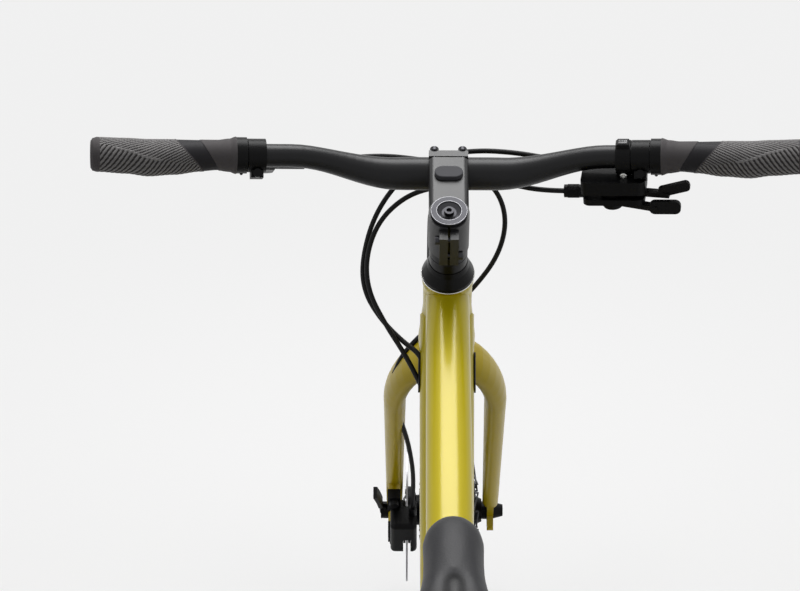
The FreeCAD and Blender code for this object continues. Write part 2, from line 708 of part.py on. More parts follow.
def make_dropouts(posts, post_holes):
    """Dropouts with rack eyelets, the brake mount on the left one and the hanger on the right one."""
    low = REAR_FACE
    high = REAR_FACE + DROPOUT_THICKNESS
    chain_end = REAR + STAY_LINE * STAY_SOCKET
    seat_end = REAR + SEATSTAY_LINE * STAY_SOCKET
    trim = [rod(chain_end + Y_AXIS * low, chain_end + STAY_LINE * 30 + Y_AXIS * low, 60),
            rod(seat_end + Y_AXIS * low, seat_end + SEATSTAY_LINE * 30 + Y_AXIS * low, 60)]
    eyelet = rack_eyelet()
    plate = merged([bone(REAR, DROPOUT_RADIUS, chain_end, STAY_END_HALF_HEIGHT, low, high),
                    bone(REAR, DROPOUT_RADIUS, seat_end, SEATSTAY_RADIUS, low, high),
                    bone(REAR, DROPOUT_RADIUS, eyelet, EYELET_RADIUS, low, high)]).cut(trim)
    slot = merged([across(REAR, low - 1, high + 1, AXLE_RADIUS + SEAT_GAP),
                   block(REAR + Vector(-AXLE_RADIUS - SEAT_GAP, low - 1, -40),
                         REAR + Vector(AXLE_RADIUS + SEAT_GAP, high + 1, 0))])
    hole = across(eyelet, low - 1, high + 1, THREAD_M5)
    plate = largest(plate.cut([slot, hole]))
    rail = block(Vector(-6, REAR_POST_SIDE - REAR_POST_RADIUS, BRAKE_RAIL_START),
                 Vector(4, low + 1, REAR_CALIPER_ALONG + POST_SPACING / 2 + REAR_POST_RADIUS))
    mount = merged([placed(rail, REAR_BRAKE)] + posts).cut([chainstay_body(SEAT_GAP)] + post_holes)
    left_plate = merged([plate, largest(mount)])
    foot = REAR + Vector(-HANGER_BACK, 0, -HANGER_DOWN)
    hanger = bone(REAR, 15, foot, 10, -high - HANGER_THICKNESS, -high)
    hanger = hanger.cut([across(REAR, -high - 10, -high + 1, AXLE_RADIUS + SEAT_GAP),
                         across(foot, -high - 10, -high + 1, 5.0)])
    return [left_plate, mirrored(plate), hanger]


def make_seat_collar():
    base = BRACKET + SEAT_UP * (SEAT_TUBE_LENGTH - SEAT_COLLAR_HEIGHT)
    top = BRACKET + SEAT_UP * SEAT_TUBE_LENGTH
    middle = (base + top) * 0.5 - X_AXIS * SEAT_COLLAR_RADIUS
    ears = block(Vector(middle.x - 10, -8, middle.z - 5), Vector(middle.x + 8, 8, middle.z + 5))
    ring = merged([rod(base, top, SEAT_COLLAR_RADIUS), ears])
    bolt_centre = Vector(middle.x - 4, 0, middle.z)
    split = block(Vector(middle.x - 12, -1.2, middle.z - 15), Vector(middle.x + 12, 1.2, middle.z + 15))
    ring = ring.cut([rod(base - SEAT_UP * 12, top + SEAT_UP * 12, SEAT_TUBE_RADIUS + SEAT_GAP), split,
                     across(bolt_centre, -9, 9, STEM_BOLT_RADIUS + SEAT_GAP)])
    bolt = merged([across(bolt_centre, -9, 8, STEM_BOLT_RADIUS), across(bolt_centre, 8, 12, STEM_BOLT_HEAD)])
    return [largest(ring), bolt]


def make_cable_ports(hose_room):
    """Rubber port covers on both sides of the down tube."""
    line = (BRACKET - DOWN_TUBE_FRONT).normalize()
    centre = DOWN_TUBE_FRONT + line * PORT_FROM_HEAD
    shell = down_tube_body(-PORT_THICKNESS).cut(down_tube_body(-SEAT_GAP))
    half = PORT_LENGTH / 2
    window = bone(centre - line * (half - 8), 8, centre + line * (half - 8), 8, 0, DOWN_TUBE_WIDTH)
    left = largest(shell.common(window).cut(hose_room + [head_envelope(SEAT_GAP)]))
    right = largest(shell.common(mirrored(window)).cut(head_envelope(SEAT_GAP)))
    return [left, right]


# Fork and steering column, drawn with the steering axis on Z and the axle ahead of it

def blade_x(height):
    """Forward place of the blade's middle line at a height above the axle."""
    return FORK_RAKE * (1 - height / FORK_LENGTH) + 2 * height / FORK_LENGTH


def crown_level():
    """Height of the crown's middle line, leaving room over the tyre."""
    reach = TYRE_RADIUS + CROWN_CLEARANCE
    return math.sqrt(reach**2 - FORK_RAKE**2) + CROWN_HALF_HEIGHT


def fork_outline(side, height, turn, half_width, half_depth):
    """Rounded outline across the left blade or the left half of the crown."""
    out = Vector(0, math.cos(turn), math.sin(turn))
    return section(Vector(blade_x(height), side, height), out, X_AXIS, half_width, half_depth, 2.3)


def left_blade():
    """Left fork blade up to its seam with the crown."""
    tip_side = FRONT_HUB_WIDTH / 2 + FORK_TIP_THICKNESS / 2
    top = BLADE_TOP_HEIGHT - SEAT_GAP
    wires = []
    for share in (0.0, 0.25, 0.5, 0.75, 1.0):
        height = BLADE_FOOT + (top - BLADE_FOOT) * share
        side = tip_side + (FORK_HALF_WIDTH - tip_side) * share
        half_width = BLADE_TIP_HALF_WIDTH + (BLADE_TOP_HALF_WIDTH - BLADE_TIP_HALF_WIDTH) * share
        half_depth = BLADE_TIP_HALF_DEPTH + (BLADE_TOP_HALF_DEPTH - BLADE_TIP_HALF_DEPTH) * share
        wires.append(fork_outline(side, height, 0.0, half_width, half_depth))
    return lofted(wires)


def left_arch():
    """Left half of the arched crown, from the blade's seam to the middle plane."""
    rise = crown_level() - BLADE_TOP_HEIGHT
    wires = []
    for angle in range(0, 91, 9):
        turn = math.radians(angle)
        share = angle / 90
        wires.append(fork_outline(FORK_HALF_WIDTH * math.cos(turn),
                                  BLADE_TOP_HEIGHT + rise * math.sin(turn) ** ARCH_POINT, turn,
                                  BLADE_TOP_HALF_WIDTH + (CROWN_HALF_HEIGHT - BLADE_TOP_HALF_WIDTH) * share,
                                  BLADE_TOP_HALF_DEPTH + (CROWN_HALF_DEPTH - BLADE_TOP_HALF_DEPTH) * share))
    return lofted(wires)


def fork_eyelet():
    """Middle of the mudguard eyelet on the left fork tip."""
    return Vector(FORK_RAKE - FORK_EYELET_BACK, FRONT_HUB_WIDTH / 2, 0)


def fork_tip():
    """Left fork tip with its axle slot and eyelet."""
    low = FRONT_HUB_WIDTH / 2
    high = low + FORK_TIP_THICKNESS
    axle = Vector(FORK_RAKE, 0, 0)
    top = Vector(blade_x(40), 0, 40)
    return merged([bone(axle, TIP_RADIUS, top, BLADE_TIP_HALF_DEPTH - 1, low, high),
                   bone(axle, TIP_RADIUS, fork_eyelet(), EYELET_RADIUS, low, high)])


def make_fork(posts, post_holes, hose_room):
    """Fork crown and blades, and the steerer tube in it."""
    boss = cone(Vector(0, 0, crown_level() - 10), Vector(0, 0, FORK_LENGTH), CROWN_HALF_DEPTH + 4,
                CROWN_RACE_RADIUS)
    low = FRONT_HUB_WIDTH / 2
    high = low + FORK_TIP_THICKNESS
    axle = Vector(FORK_RAKE, 0, 0)
    slots = [across(axle, -high - 1, high + 1, AXLE_RADIUS + SEAT_GAP),
             block(axle + Vector(-AXLE_RADIUS - SEAT_GAP, -high - 1, -30),
                   axle + Vector(AXLE_RADIUS + SEAT_GAP, high + 1, 0)),
             across(fork_eyelet(), -high - 1, high + 1, THREAD_M5)]
    tip = fork_tip()
    arch = left_arch()
    blade = left_blade()
    crown = merged([arch, mirrored(arch), boss])
    left = merged([blade, tip] + posts)
    right = mirrored(merged([blade, tip]))
    inside_hub = across(axle, -low, low, TIP_RADIUS + 14)
    reach = TYRE_RADIUS + CROWN_CLEARANCE - 1
    half = TYRE_WIDTH / 2 + CROWN_CLEARANCE
    tyre_room = [across(axle, -share * half, share * half, reach - half * (1 - math.sqrt(1 - share**2)))
                 for share in (0.4, 0.6, 0.8, 0.95)]
    steerer_seat = rod(Vector(0, 0, crown_level() - CROWN_HALF_HEIGHT - 20), Vector(0, 0, FORK_LENGTH + 1),
                       STEERER_BASE_RADIUS + SEAT_GAP)
    room = slots + tyre_room + [inside_hub, steerer_seat] + post_holes
    pieces = [largest(steered(piece.cut(room)).cut(hose_room)) for piece in (crown, left, right)]
    base = math.sqrt((TYRE_RADIUS + CROWN_CLEARANCE) ** 2 - FORK_RAKE**2)
    taper = HEAD_BASE + BEARING_HEIGHT + 2
    steerer = turned([(STEERER_BORE, base), (STEERER_BASE_RADIUS, base), (STEERER_BASE_RADIUS, taper),
                      (STEERER_RADIUS, taper + 30), (STEERER_RADIUS, CLAMP_TOP - 3),
                      (STEERER_BORE, CLAMP_TOP - 3)])
    race = turned([(STEERER_BASE_RADIUS + SEAT_GAP, FORK_LENGTH), (CROWN_RACE_RADIUS, FORK_LENGTH),
                   (CROWN_RACE_RADIUS - 2, HEAD_BASE - BODY_GAP),
                   (STEERER_BASE_RADIUS + SEAT_GAP, HEAD_BASE - BODY_GAP)])
    return pieces + [steered(steerer), steered(race)]


def make_spacers():
    """Conical headset cover and the two spacers under the stem."""
    bore = STEERER_RADIUS + SEAT_GAP
    cover = turned([(bore, COVER_BASE), (HEAD_TOP_RADIUS, COVER_BASE), (HEAD_TOP_RADIUS, COVER_BASE + 3),
                    (COVER_TOP_RADIUS + 1.5, SPACER_BASE - 6), (COVER_TOP_RADIUS, SPACER_BASE),
                    (bore, SPACER_BASE)])
    solids = [steered(cover)]
    level = SPACER_BASE
    for height in SPACER_HEIGHTS:
        ring = turned([(bore, level), (SPACER_RADIUS - 0.6, level), (SPACER_RADIUS, level + 0.6),
                       (SPACER_RADIUS, level + height - 0.6), (SPACER_RADIUS - 0.6, level + height),
                       (bore, level + height)])
        solids.append(steered(ring))
        level += height
    return solids


STEM_FRAME = Placement(Vector(0, 0, STEM_LEVEL), Rotation(Y_AXIS, STEM_DROP_ANGLE))
FACEPLATE_RADIUS = BAR_CLAMP_RADIUS + FACEPLATE_WALL
STEM_BOLT_UP = BAR_CLAMP_RADIUS + STEM_BOLT_RADIUS + 0.8
PINCH_BACK = -STEM_CLAMP_RADIUS - 3.5


def make_stem():
    """Stem body with a flat top, drawn along its own line and then tilted."""
    half = STEM_WIDTH / 2
    beam = block(Vector(0, -half, -STEM_HEIGHT / 2),
                 Vector(STEM_LENGTH - FACEPLATE_GAP / 2, half, STEM_HEIGHT / 2))
    long_edges = [edge for edge in beam.Edges if abs(edge.tangentAt(edge.FirstParameter).x) > 0.9]
    beam = beam.makeFillet(STEM_CORNER, long_edges).cut([bar_bore()] + stem_bolt_holes())
    clamp = rod(Vector(0, 0, CLAMP_BASE), Vector(0, 0, CLAMP_TOP), STEM_CLAMP_RADIUS)
    ears = block(Vector(PINCH_BACK - 6, -9, CLAMP_BASE + 4), Vector(-8, 9, CLAMP_TOP - 4))
    over = rod(Vector(0, 0, CLAMP_TOP), Vector(0, 0, CLAMP_TOP + 40), 200)
    under = rod(Vector(0, 0, CLAMP_BASE - 40), Vector(0, 0, CLAMP_BASE), SPACER_RADIUS + 4)
    bore = rod(Vector(0, 0, CLAMP_BASE - 1), Vector(0, 0, CLAMP_TOP + 1), STEERER_RADIUS + SEAT_GAP)
    slit = block(Vector(PINCH_BACK - 9, -1.1, CLAMP_BASE - 1), Vector(-6, 1.1, CLAMP_TOP + 1))
    pinch = [across(Vector(PINCH_BACK, 0, level), -20, 20, STEM_BOLT_RADIUS + SEAT_GAP)
             for level in pinch_levels()]
    body = merged([placed(beam, STEM_FRAME), clamp, ears]).cut([over, under, bore, slit] + pinch)
    return steered(largest(body))


def pinch_levels():
    """Heights of the two pinch bolts behind the steerer clamp."""
    middle = (CLAMP_BASE + CLAMP_TOP) / 2
    return (middle - 11, middle + 11)


def bar_bore():
    return across(Vector(STEM_LENGTH, 0, 0), -60, 60, BAR_CLAMP_RADIUS + SEAT_GAP)


def stem_bolt_places():
    return [(side, up) for side in (-STEM_BOLT_OFFSET, STEM_BOLT_OFFSET)
            for up in (-STEM_BOLT_UP, STEM_BOLT_UP)]


def stem_bolt_holes():
    """Clearance for the four faceplate bolts, along the stem."""
    return [rod(Vector(STEM_LENGTH - 15, side, up), Vector(STEM_LENGTH + 40, side, up),
                STEM_BOLT_RADIUS + SEAT_GAP)
            for side, up in stem_bolt_places()]


def make_faceplate():
    half = STEM_WIDTH / 2
    jaw = across(Vector(STEM_LENGTH, 0, 0), -half, half, FACEPLATE_RADIUS)
    lugs = block(Vector(STEM_LENGTH, -half, -STEM_HEIGHT / 2), Vector(STEM_LENGTH + 9, half, STEM_HEIGHT / 2))
    head_room = [rod(Vector(STEM_LENGTH + 9, side, up), Vector(STEM_LENGTH + 30, side, up),
                     STEM_BOLT_HEAD + SEAT_GAP)
                 for side, up in stem_bolt_places()]
    window = block(Vector(STEM_LENGTH, -9, -9), Vector(STEM_LENGTH + 60, 9, 9))
    behind = block(Vector(STEM_LENGTH - 60, -60, -60), Vector(STEM_LENGTH + FACEPLATE_GAP / 2, 60, 60))
    plate = merged([jaw, lugs]).cut([behind, bar_bore(), window] + stem_bolt_holes() + head_room)
    return steered(placed(largest(plate), STEM_FRAME))


def make_stem_bolts():
    """Four faceplate bolts, two pinch bolts and the top cap bolt."""
    bolts = []
    for side, up in stem_bolt_places():
        shank = rod(Vector(STEM_LENGTH - 14, side, up), Vector(STEM_LENGTH + 9, side, up), STEM_BOLT_RADIUS)
        head = rod(Vector(STEM_LENGTH + 9, side, up), Vector(STEM_LENGTH + 13.5, side, up), STEM_BOLT_HEAD)
        socket = rod(Vector(STEM_LENGTH + 11, side, up), Vector(STEM_LENGTH + 14, side, up), 2.0)
        bolts.append(steered(placed(merged([shank, head]).cut(socket), STEM_FRAME)))
    for index, level in enumerate(pinch_levels()):
        middle = Vector(PINCH_BACK, 0, level)
        bolt = merged([across(middle, -9, 9, STEM_BOLT_RADIUS), across(middle, 9, 13, STEM_BOLT_HEAD)])
        bolts.append(steered(bolt if index else mirrored(bolt)))
    top = CLAMP_TOP + TOP_CAP_HEIGHT
    cap_bolt = merged([rod(Vector(0, 0, CLAMP_TOP - 25), Vector(0, 0, top - 3), 3.0),
                       rod(Vector(0, 0, top - 3), Vector(0, 0, top + 0.5), 4.6)])
    cap_bolt = cap_bolt.cut(rod(Vector(0, 0, top - 2), Vector(0, 0, top + 1), 2.5))
    bolts.append(steered(cap_bolt))
    return bolts


def make_stem_caps():
    """Dished top cap, star nut in the steerer and the oval rubber plug on the stem."""
    rim = TOP_CAP_RADIUS
    top = CLAMP_TOP + TOP_CAP_HEIGHT
    hole = 3.0 + SEAT_GAP
    cap = turned([(hole, CLAMP_TOP + 0.02), (rim, CLAMP_TOP + 0.02), (rim, top - 0.8), (rim - 0.8, top),
                  (0.68 * rim, top), (0.64 * rim, top - 1.4), (0.4 * rim, top - 3), (hole, top - 3)])
    nut = turned([(hole, CLAMP_TOP - 24), (STEERER_BORE - SEAT_GAP, CLAMP_TOP - 24),
                  (STEERER_BORE - SEAT_GAP, CLAMP_TOP - 16), (hole, CLAMP_TOP - 16)])
    return [steered(cap), steered(nut)]


def make_stem_plug():
    """Oval rubber plug standing on the flat top of the stem."""
    half = PLUG_LENGTH / 2
    run = PLUG_WIDTH / 2 - half
    base = STEM_HEIGHT / 2 + 0.02
    middle = STEM_LENGTH - FACEPLATE_GAP / 2 - half - PLUG_BACK
    pill = merged([rod(Vector(middle, -run, base), Vector(middle, -run, base + PLUG_HEIGHT), half),
                   rod(Vector(middle, run, base), Vector(middle, run, base + PLUG_HEIGHT), half),
                   block(Vector(middle - half, -run, base), Vector(middle + half, run, base + PLUG_HEIGHT))])
    top_edges = [edge for edge in pill.Edges if edge.BoundBox.ZMin > base + PLUG_HEIGHT - 0.01]
    pill = pill.makeFillet(1.2, top_edges)
    return steered(placed(pill, STEM_FRAME))


# Handlebar and controls

def smooth(value, low, high):
    """Smooth step from 0 at low to 1 at high."""
    share = min(1.0, max(0.0, (value - low) / (high - low)))
    return share * share * (3 - 2 * share)


def bar_point(side):
    """Middle of the bar at a distance to the left of the stem."""
    width = BEND_END - BEND_START
    away = abs(side)
    share = min(1.0, max(0.0, (away - BEND_START) / width))
    run = width * (share**3 - share**4 / 2) + max(0.0, away - BEND_END)
    rise = BAR_RISE * smooth(away, BEND_START, BEND_END) + math.tan(math.radians(BAR_UPSWEEP)) * run
    back = math.tan(math.radians(BAR_BACKSWEEP)) * run
    return BAR_CENTRE + Vector(-back, side, rise)


def bar_sections(thinner):
    wires = []
    bends = [BEND_START + (BEND_END - BEND_START) * step / 12 for step in range(13)]
    half = [TAPER_START] + bends + [BAR_HALF_WIDTH]
    for side in [-place for place in reversed(half)] + half:
        ahead = bar_point(side + 0.5)
        behind = bar_point(side - 0.5)
        line = (ahead - behind).normalize()
        facing = (X_AXIS - line * line.x).normalize()
        taper = (BAR_CLAMP_RADIUS - BAR_RADIUS) * smooth(abs(side), TAPER_START, TAPER_END)
        radius = BAR_CLAMP_RADIUS - taper
        wires.append(section(bar_point(side), facing, line.cross(facing), radius - thinner, radius - thinner))
    return wires


def make_handlebar():
    return lofted(bar_sections(0)).cut(lofted(bar_sections(BAR_WALL)))


BAR_END = bar_point(BAR_HALF_WIDTH)
BAR_OUT = (BAR_END - bar_point(BAR_HALF_WIDTH - 50)).normalize()
BAR_FORWARD = (X_AXIS - BAR_OUT * BAR_OUT.x).normalize()
BAR_UP = BAR_FORWARD.cross(BAR_OUT)
CONTROL = Placement(Matrix(BAR_FORWARD.x, BAR_OUT.x, BAR_UP.x, BAR_END.x,
                           BAR_FORWARD.y, BAR_OUT.y, BAR_UP.y, BAR_END.y,
                           BAR_FORWARD.z, BAR_OUT.z, BAR_UP.z, BAR_END.z, 0, 0, 0, 1))
BRAKE_TURN = Placement(Vector(), Rotation(Y_AXIS, BRAKE_TILT))
BRAKE_FRAME = CONTROL.multiply(BRAKE_TURN)
COLLAR_AT = -GRIP_LENGTH - COLLAR_WIDTH / 2
BRAKE_AT = -GRIP_LENGTH - COLLAR_WIDTH - 1 - BRAKE_CLAMP_WIDTH / 2
SHIFTER_AT = BRAKE_AT - BRAKE_CLAMP_WIDTH / 2 - 1 - SHIFTER_CLAMP_WIDTH / 2
LEVER_PIVOT = Vector(LEVER_PIVOT_FORWARD, BRAKE_AT - LEVER_PIVOT_INBOARD, 0)
MASTER_END = BRAKE_AT + BRAKE_CLAMP_WIDTH / 2 + 4
MASTER_RISE = 2.0
LEVER_PORT_ALONG = MASTER_END - MASTER_LENGTH - HOSE_SEAT_DEPTH


def on_bar(shape):
    """A shape drawn along the left end of the bar: X forward, Y outward from its end, Z up."""
    return placed(shape, CONTROL)


def on_brake(shape):
    """A shape drawn like those on the bar, tilted down at the front with the brake lever."""
    return placed(shape, BRAKE_FRAME)


def bar_ring(middle, width, radius):
    """Ring round the straight end of the bar."""
    low = Vector(0, middle - width / 2, 0)
    high = Vector(0, middle + width / 2, 0)
    return rod(low, high, radius).cut(rod(low - Y_AXIS, high + Y_AXIS, BAR_RADIUS + SEAT_GAP))


def make_grip():
    """Left grip: round end, palm wing behind, slim neck and a flared inner end."""
    full = GRIP_LENGTH
    flare = COLLAR_RADIUS + 0.5
    stations = ((GRIP_CAP, GRIP_RADIUS - 3.5, GRIP_RADIUS - 3.5, 0),
                (GRIP_CAP - 2, GRIP_RADIUS - 1, GRIP_RADIUS - 1, 0),
                (-3, GRIP_RADIUS, GRIP_RADIUS, 0), (-0.22 * full, GRIP_RADIUS + 1, GRIP_RADIUS + 0.3, -0.4),
                (-0.38 * full, GRIP_RADIUS + GRIP_WING, GRIP_RADIUS + 0.6, -1),
                (-0.56 * full, GRIP_RADIUS + 0.6 * GRIP_WING, GRIP_RADIUS, -0.7),
                (-0.75 * full, GRIP_NECK_RADIUS + 1, GRIP_NECK_RADIUS + 0.5, -0.2),
                (-0.87 * full, GRIP_NECK_RADIUS, GRIP_NECK_RADIUS, 0),
                (-0.95 * full, GRIP_NECK_RADIUS + 1.2, GRIP_NECK_RADIUS + 1.2, 0), (-full, flare, flare, 0))
    wires = []
    for along, half_depth, half_height, shift in eased(stations, 4):
        centre = Vector(shift * GRIP_WING, along, 0.5 * shift * GRIP_WING)
        wires.append(section(centre, X_AXIS, Z_AXIS, half_depth, half_height))
    bore = rod(Vector(0, -full - 1, 0), Vector(0, 0.1, 0), BAR_RADIUS + SEAT_GAP)
    return on_bar(lofted(wires).cut(bore))


def make_collar():
    """Left grip clamp collar with its small bolt."""
    ring = bar_ring(COLLAR_AT - 0.02, COLLAR_WIDTH - 0.04, COLLAR_RADIUS)
    bolt = rod(Vector(-10, COLLAR_AT, -14.4), Vector(6, COLLAR_AT, -14.4), 1.5)
    room = rod(Vector(-20, COLLAR_AT, -14.4), Vector(6.5, COLLAR_AT, -14.4), 1.5 + SEAT_GAP)
    return [on_bar(ring.cut(room)), on_bar(bolt)]


def make_brake_body():
    """Left hydraulic lever body with clamp, master cylinder, pivot ears, pin and clamp bolt."""
    ring = rod(Vector(0, BRAKE_AT - BRAKE_CLAMP_WIDTH / 2, 0), Vector(0, BRAKE_AT + BRAKE_CLAMP_WIDTH / 2, 0),
               BRAKE_CLAMP_RADIUS)
    master = rod(Vector(MASTER_FORWARD, MASTER_END - MASTER_LENGTH, MASTER_RISE),
                 Vector(MASTER_FORWARD, MASTER_END, MASTER_RISE), MASTER_RADIUS)
    tank = block(Vector(MASTER_FORWARD - 8, MASTER_END - MASTER_LENGTH + 8, 6),
                 Vector(MASTER_FORWARD + 9, MASTER_END - 8, 15))
    tank = tank.makeFillet(3, tank.Edges)
    neck = block(Vector(8, BRAKE_AT - 7, -6), Vector(MASTER_FORWARD, BRAKE_AT + 7, 9))
    port = Vector(MASTER_FORWARD, LEVER_PORT_ALONG, MASTER_RISE)
    fitting = rod(port - Y_AXIS * HOSE_SEAT_DEPTH, port + Y_AXIS * (HOSE_SEAT_DEPTH + 1), FITTING_RADIUS)
    hose_seat = rod(port - Y_AXIS * (HOSE_SEAT_DEPTH + 1), port, HOSE_RADIUS + SEAT_GAP)
    ear_inner = LEVER_THICKNESS / 2 + BODY_GAP
    shapes = [ring, master, tank, neck, fitting]
    for low, high in ((ear_inner, ear_inner + LEVER_EAR), (-ear_inner - LEVER_EAR, -ear_inner)):
        shapes.append(merged([
            rod(Vector(LEVER_PIVOT.x, LEVER_PIVOT.y, low), Vector(LEVER_PIVOT.x, LEVER_PIVOT.y, high), 7.0),
            block(Vector(MASTER_FORWARD, LEVER_PIVOT.y - 7, low),
                  Vector(LEVER_PIVOT.x, LEVER_PIVOT.y + 7, high))]))
    lever_room = rod(LEVER_PIVOT - Z_AXIS * ear_inner, LEVER_PIVOT + Z_AXIS * ear_inner, LEVER_HUB_RADIUS + 1)
    sweep_room = block(Vector(LEVER_PIVOT.x - 14, LEVER_PIVOT.y, -ear_inner),
                       Vector(LEVER_PIVOT.x + 30, LEVER_PIVOT.y + 60, ear_inner))
    bore = rod(Vector(0, BRAKE_AT - 20, 0), Vector(0, BRAKE_AT + 20, 0), BAR_RADIUS + SEAT_GAP)
    pin_hole = rod(LEVER_PIVOT - Z_AXIS * 20, LEVER_PIVOT + Z_AXIS * 20, LEVER_PIN_RADIUS + SEAT_GAP)
    split = block(Vector(-1, BRAKE_AT - 20, -BRAKE_CLAMP_RADIUS - 9), Vector(1, BRAKE_AT + 20, -8))
    lug = block(Vector(-6, BRAKE_AT - 6, -BRAKE_CLAMP_RADIUS - 6), Vector(6, BRAKE_AT + 6, -8))
    bolt_low = Vector(-10, BRAKE_AT, -BRAKE_CLAMP_RADIUS - 2)
    bolt_high = Vector(6, BRAKE_AT, -BRAKE_CLAMP_RADIUS - 2)
    bolt = merged([rod(bolt_low, bolt_high, 2.5), rod(bolt_low, Vector(-6, BRAKE_AT, bolt_low.z), 4.2)])
    bolt_room = rod(bolt_low, bolt_high + X_AXIS, 2.5 + SEAT_GAP)
    body = merged(shapes + [lug]).cut([bore, lever_room, sweep_room, pin_hole, split, bolt_room, hose_seat])
    head_room = rod(bolt_low - X_AXIS, Vector(-6, BRAKE_AT, bolt_low.z), 4.2 + SEAT_GAP)
    body = largest(body.cut(head_room))
    reach = ear_inner + LEVER_EAR
    pin = rod(LEVER_PIVOT - Z_AXIS * reach, LEVER_PIVOT + Z_AXIS * reach, LEVER_PIN_RADIUS)
    return [on_brake(body), on_brake(pin), on_brake(bolt)]


def make_brake_lever():
    """Left lever blade, a two-finger hook from its pivot."""
    x, y = LEVER_PIVOT.x, LEVER_PIVOT.y
    tip = y + LEVER_REACH + LEVER_PIVOT_INBOARD
    half = LEVER_THICKNESS / 2

    def flat(forward, along):
        return Vector(x + forward, along, -half)

    edges = [Part.Arc(flat(-2, y + 7), flat(-1, y + 52), flat(3, tip - 8)).toShape(),
             Part.Arc(flat(3, tip - 8), flat(6, tip - 1), flat(13, tip)).toShape(),
             Part.Arc(flat(13, tip), flat(17, tip - 6), flat(13.5, tip - 14)).toShape(),
             Part.Arc(flat(13.5, tip - 14), flat(8.5, y + 50), flat(7, y + 1)).toShape(),
             Part.LineSegment(flat(7, y + 1), flat(-2, y + 7)).toShape()]
    blade = outward(Part.Face(Part.Wire(edges)).extrude(Vector(0, 0, LEVER_THICKNESS)))
    hub = rod(LEVER_PIVOT - Z_AXIS * half, LEVER_PIVOT + Z_AXIS * half, LEVER_HUB_RADIUS)
    pin_hole = rod(LEVER_PIVOT - Z_AXIS * 20, LEVER_PIVOT + Z_AXIS * 20, LEVER_PIN_RADIUS + RUNNING_GAP)
    return on_brake(merged([blade, hub]).cut(pin_hole))


SHIFTER_POST = Vector(-4, SHIFTER_AT - 12, 0)
UPPER_DECK = -SHIFTER_TOP - SHIFTER_DECK
LAYER = PADDLE_THICKNESS + 2 * BODY_GAP
LOWER_DECK = UPPER_DECK - LAYER
SHIFTER_INNER = SHIFTER_AT - SHIFTER_LENGTH * 0.66
ADJUSTER_PORT = Vector(2, SHIFTER_INNER - ADJUSTER_LENGTH + HOSE_SEAT_DEPTH, LOWER_DECK - 2)


def make_shifter_body():
    """Right shifter drawn on the left: clamp, two decks on a post, indicator and barrel adjuster."""
    ring = rod(Vector(0, SHIFTER_AT - SHIFTER_CLAMP_WIDTH / 2, 0),
               Vector(0, SHIFTER_AT + SHIFTER_CLAMP_WIDTH / 2, 0),
               BRAKE_CLAMP_RADIUS)
    back = -SHIFTER_DEPTH / 2 - SHIFTER_BACK
    front = SHIFTER_DEPTH / 2 - SHIFTER_BACK
    inner = SHIFTER_INNER
    outer = SHIFTER_AT + SHIFTER_LENGTH * 0.34

    def deck(low, high, trim):
        return Part.makeBox(front - back - 2 * trim, outer - inner - 2 * trim, high - low,
                            Vector(back + trim, inner + trim, low))

    upper = deck(UPPER_DECK, -SHIFTER_TOP - 2, 0)
    upper = upper.makeFillet(7, [edge for edge in upper.Edges
                                 if abs(edge.tangentAt(edge.FirstParameter).z) > 0.9])
    lower = deck(LOWER_DECK - 6, LOWER_DECK, 1.5)
    lower = lower.makeFillet(7, [edge for edge in lower.Edges
                                 if abs(edge.tangentAt(edge.FirstParameter).z) > 0.9])
    foot = LOWER_DECK - 6 - LAYER
    post = rod(Vector(SHIFTER_POST.x, SHIFTER_POST.y, foot - 2),
               Vector(SHIFTER_POST.x, SHIFTER_POST.y, UPPER_DECK + 3),
               SHIFTER_POST_RADIUS)
    cap = rod(Vector(SHIFTER_POST.x, SHIFTER_POST.y, foot - 2.5),
              Vector(SHIFTER_POST.x, SHIFTER_POST.y, foot), 9.0)
    neck = block(Vector(-7, SHIFTER_AT - SHIFTER_CLAMP_WIDTH / 2, -SHIFTER_TOP - 4),
                 Vector(9, SHIFTER_AT + SHIFTER_CLAMP_WIDTH / 2, -8))
    window = block(Vector(-9, SHIFTER_AT - 6, 12), Vector(4, SHIFTER_AT + 6, BRAKE_CLAMP_RADIUS + 2))
    window = window.makeFillet(1.5, window.Edges)
    adjuster = rod(ADJUSTER_PORT - Y_AXIS * HOSE_SEAT_DEPTH, Vector(2, inner + 6, ADJUSTER_PORT.z),
                   ADJUSTER_RADIUS)
    cable_seat = rod(ADJUSTER_PORT - Y_AXIS * (HOSE_SEAT_DEPTH + 1), ADJUSTER_PORT, HOSE_RADIUS + SEAT_GAP)
    bore = rod(Vector(0, SHIFTER_AT - 30, 0), Vector(0, SHIFTER_AT + 30, 0), BAR_RADIUS + SEAT_GAP)
    reach = BRAKE_CLAMP_WIDTH / 2 + 0.5
    clamp_room = rod(Vector(0, BRAKE_AT - reach, 0), Vector(0, BRAKE_AT + reach, 0), BRAKE_CLAMP_RADIUS + 0.5)
    lug_room = block(Vector(-20, BRAKE_AT - 7, -BRAKE_CLAMP_RADIUS - 7), Vector(8, BRAKE_AT + 7, 0))
    lug_room = placed(lug_room, BRAKE_TURN)
    room = [bore, cable_seat, clamp_room, lug_room]
    body = merged([ring, upper, lower, post, cap, neck, window, adjuster]).cut(room)
    return mirrored(on_bar(largest(body)))


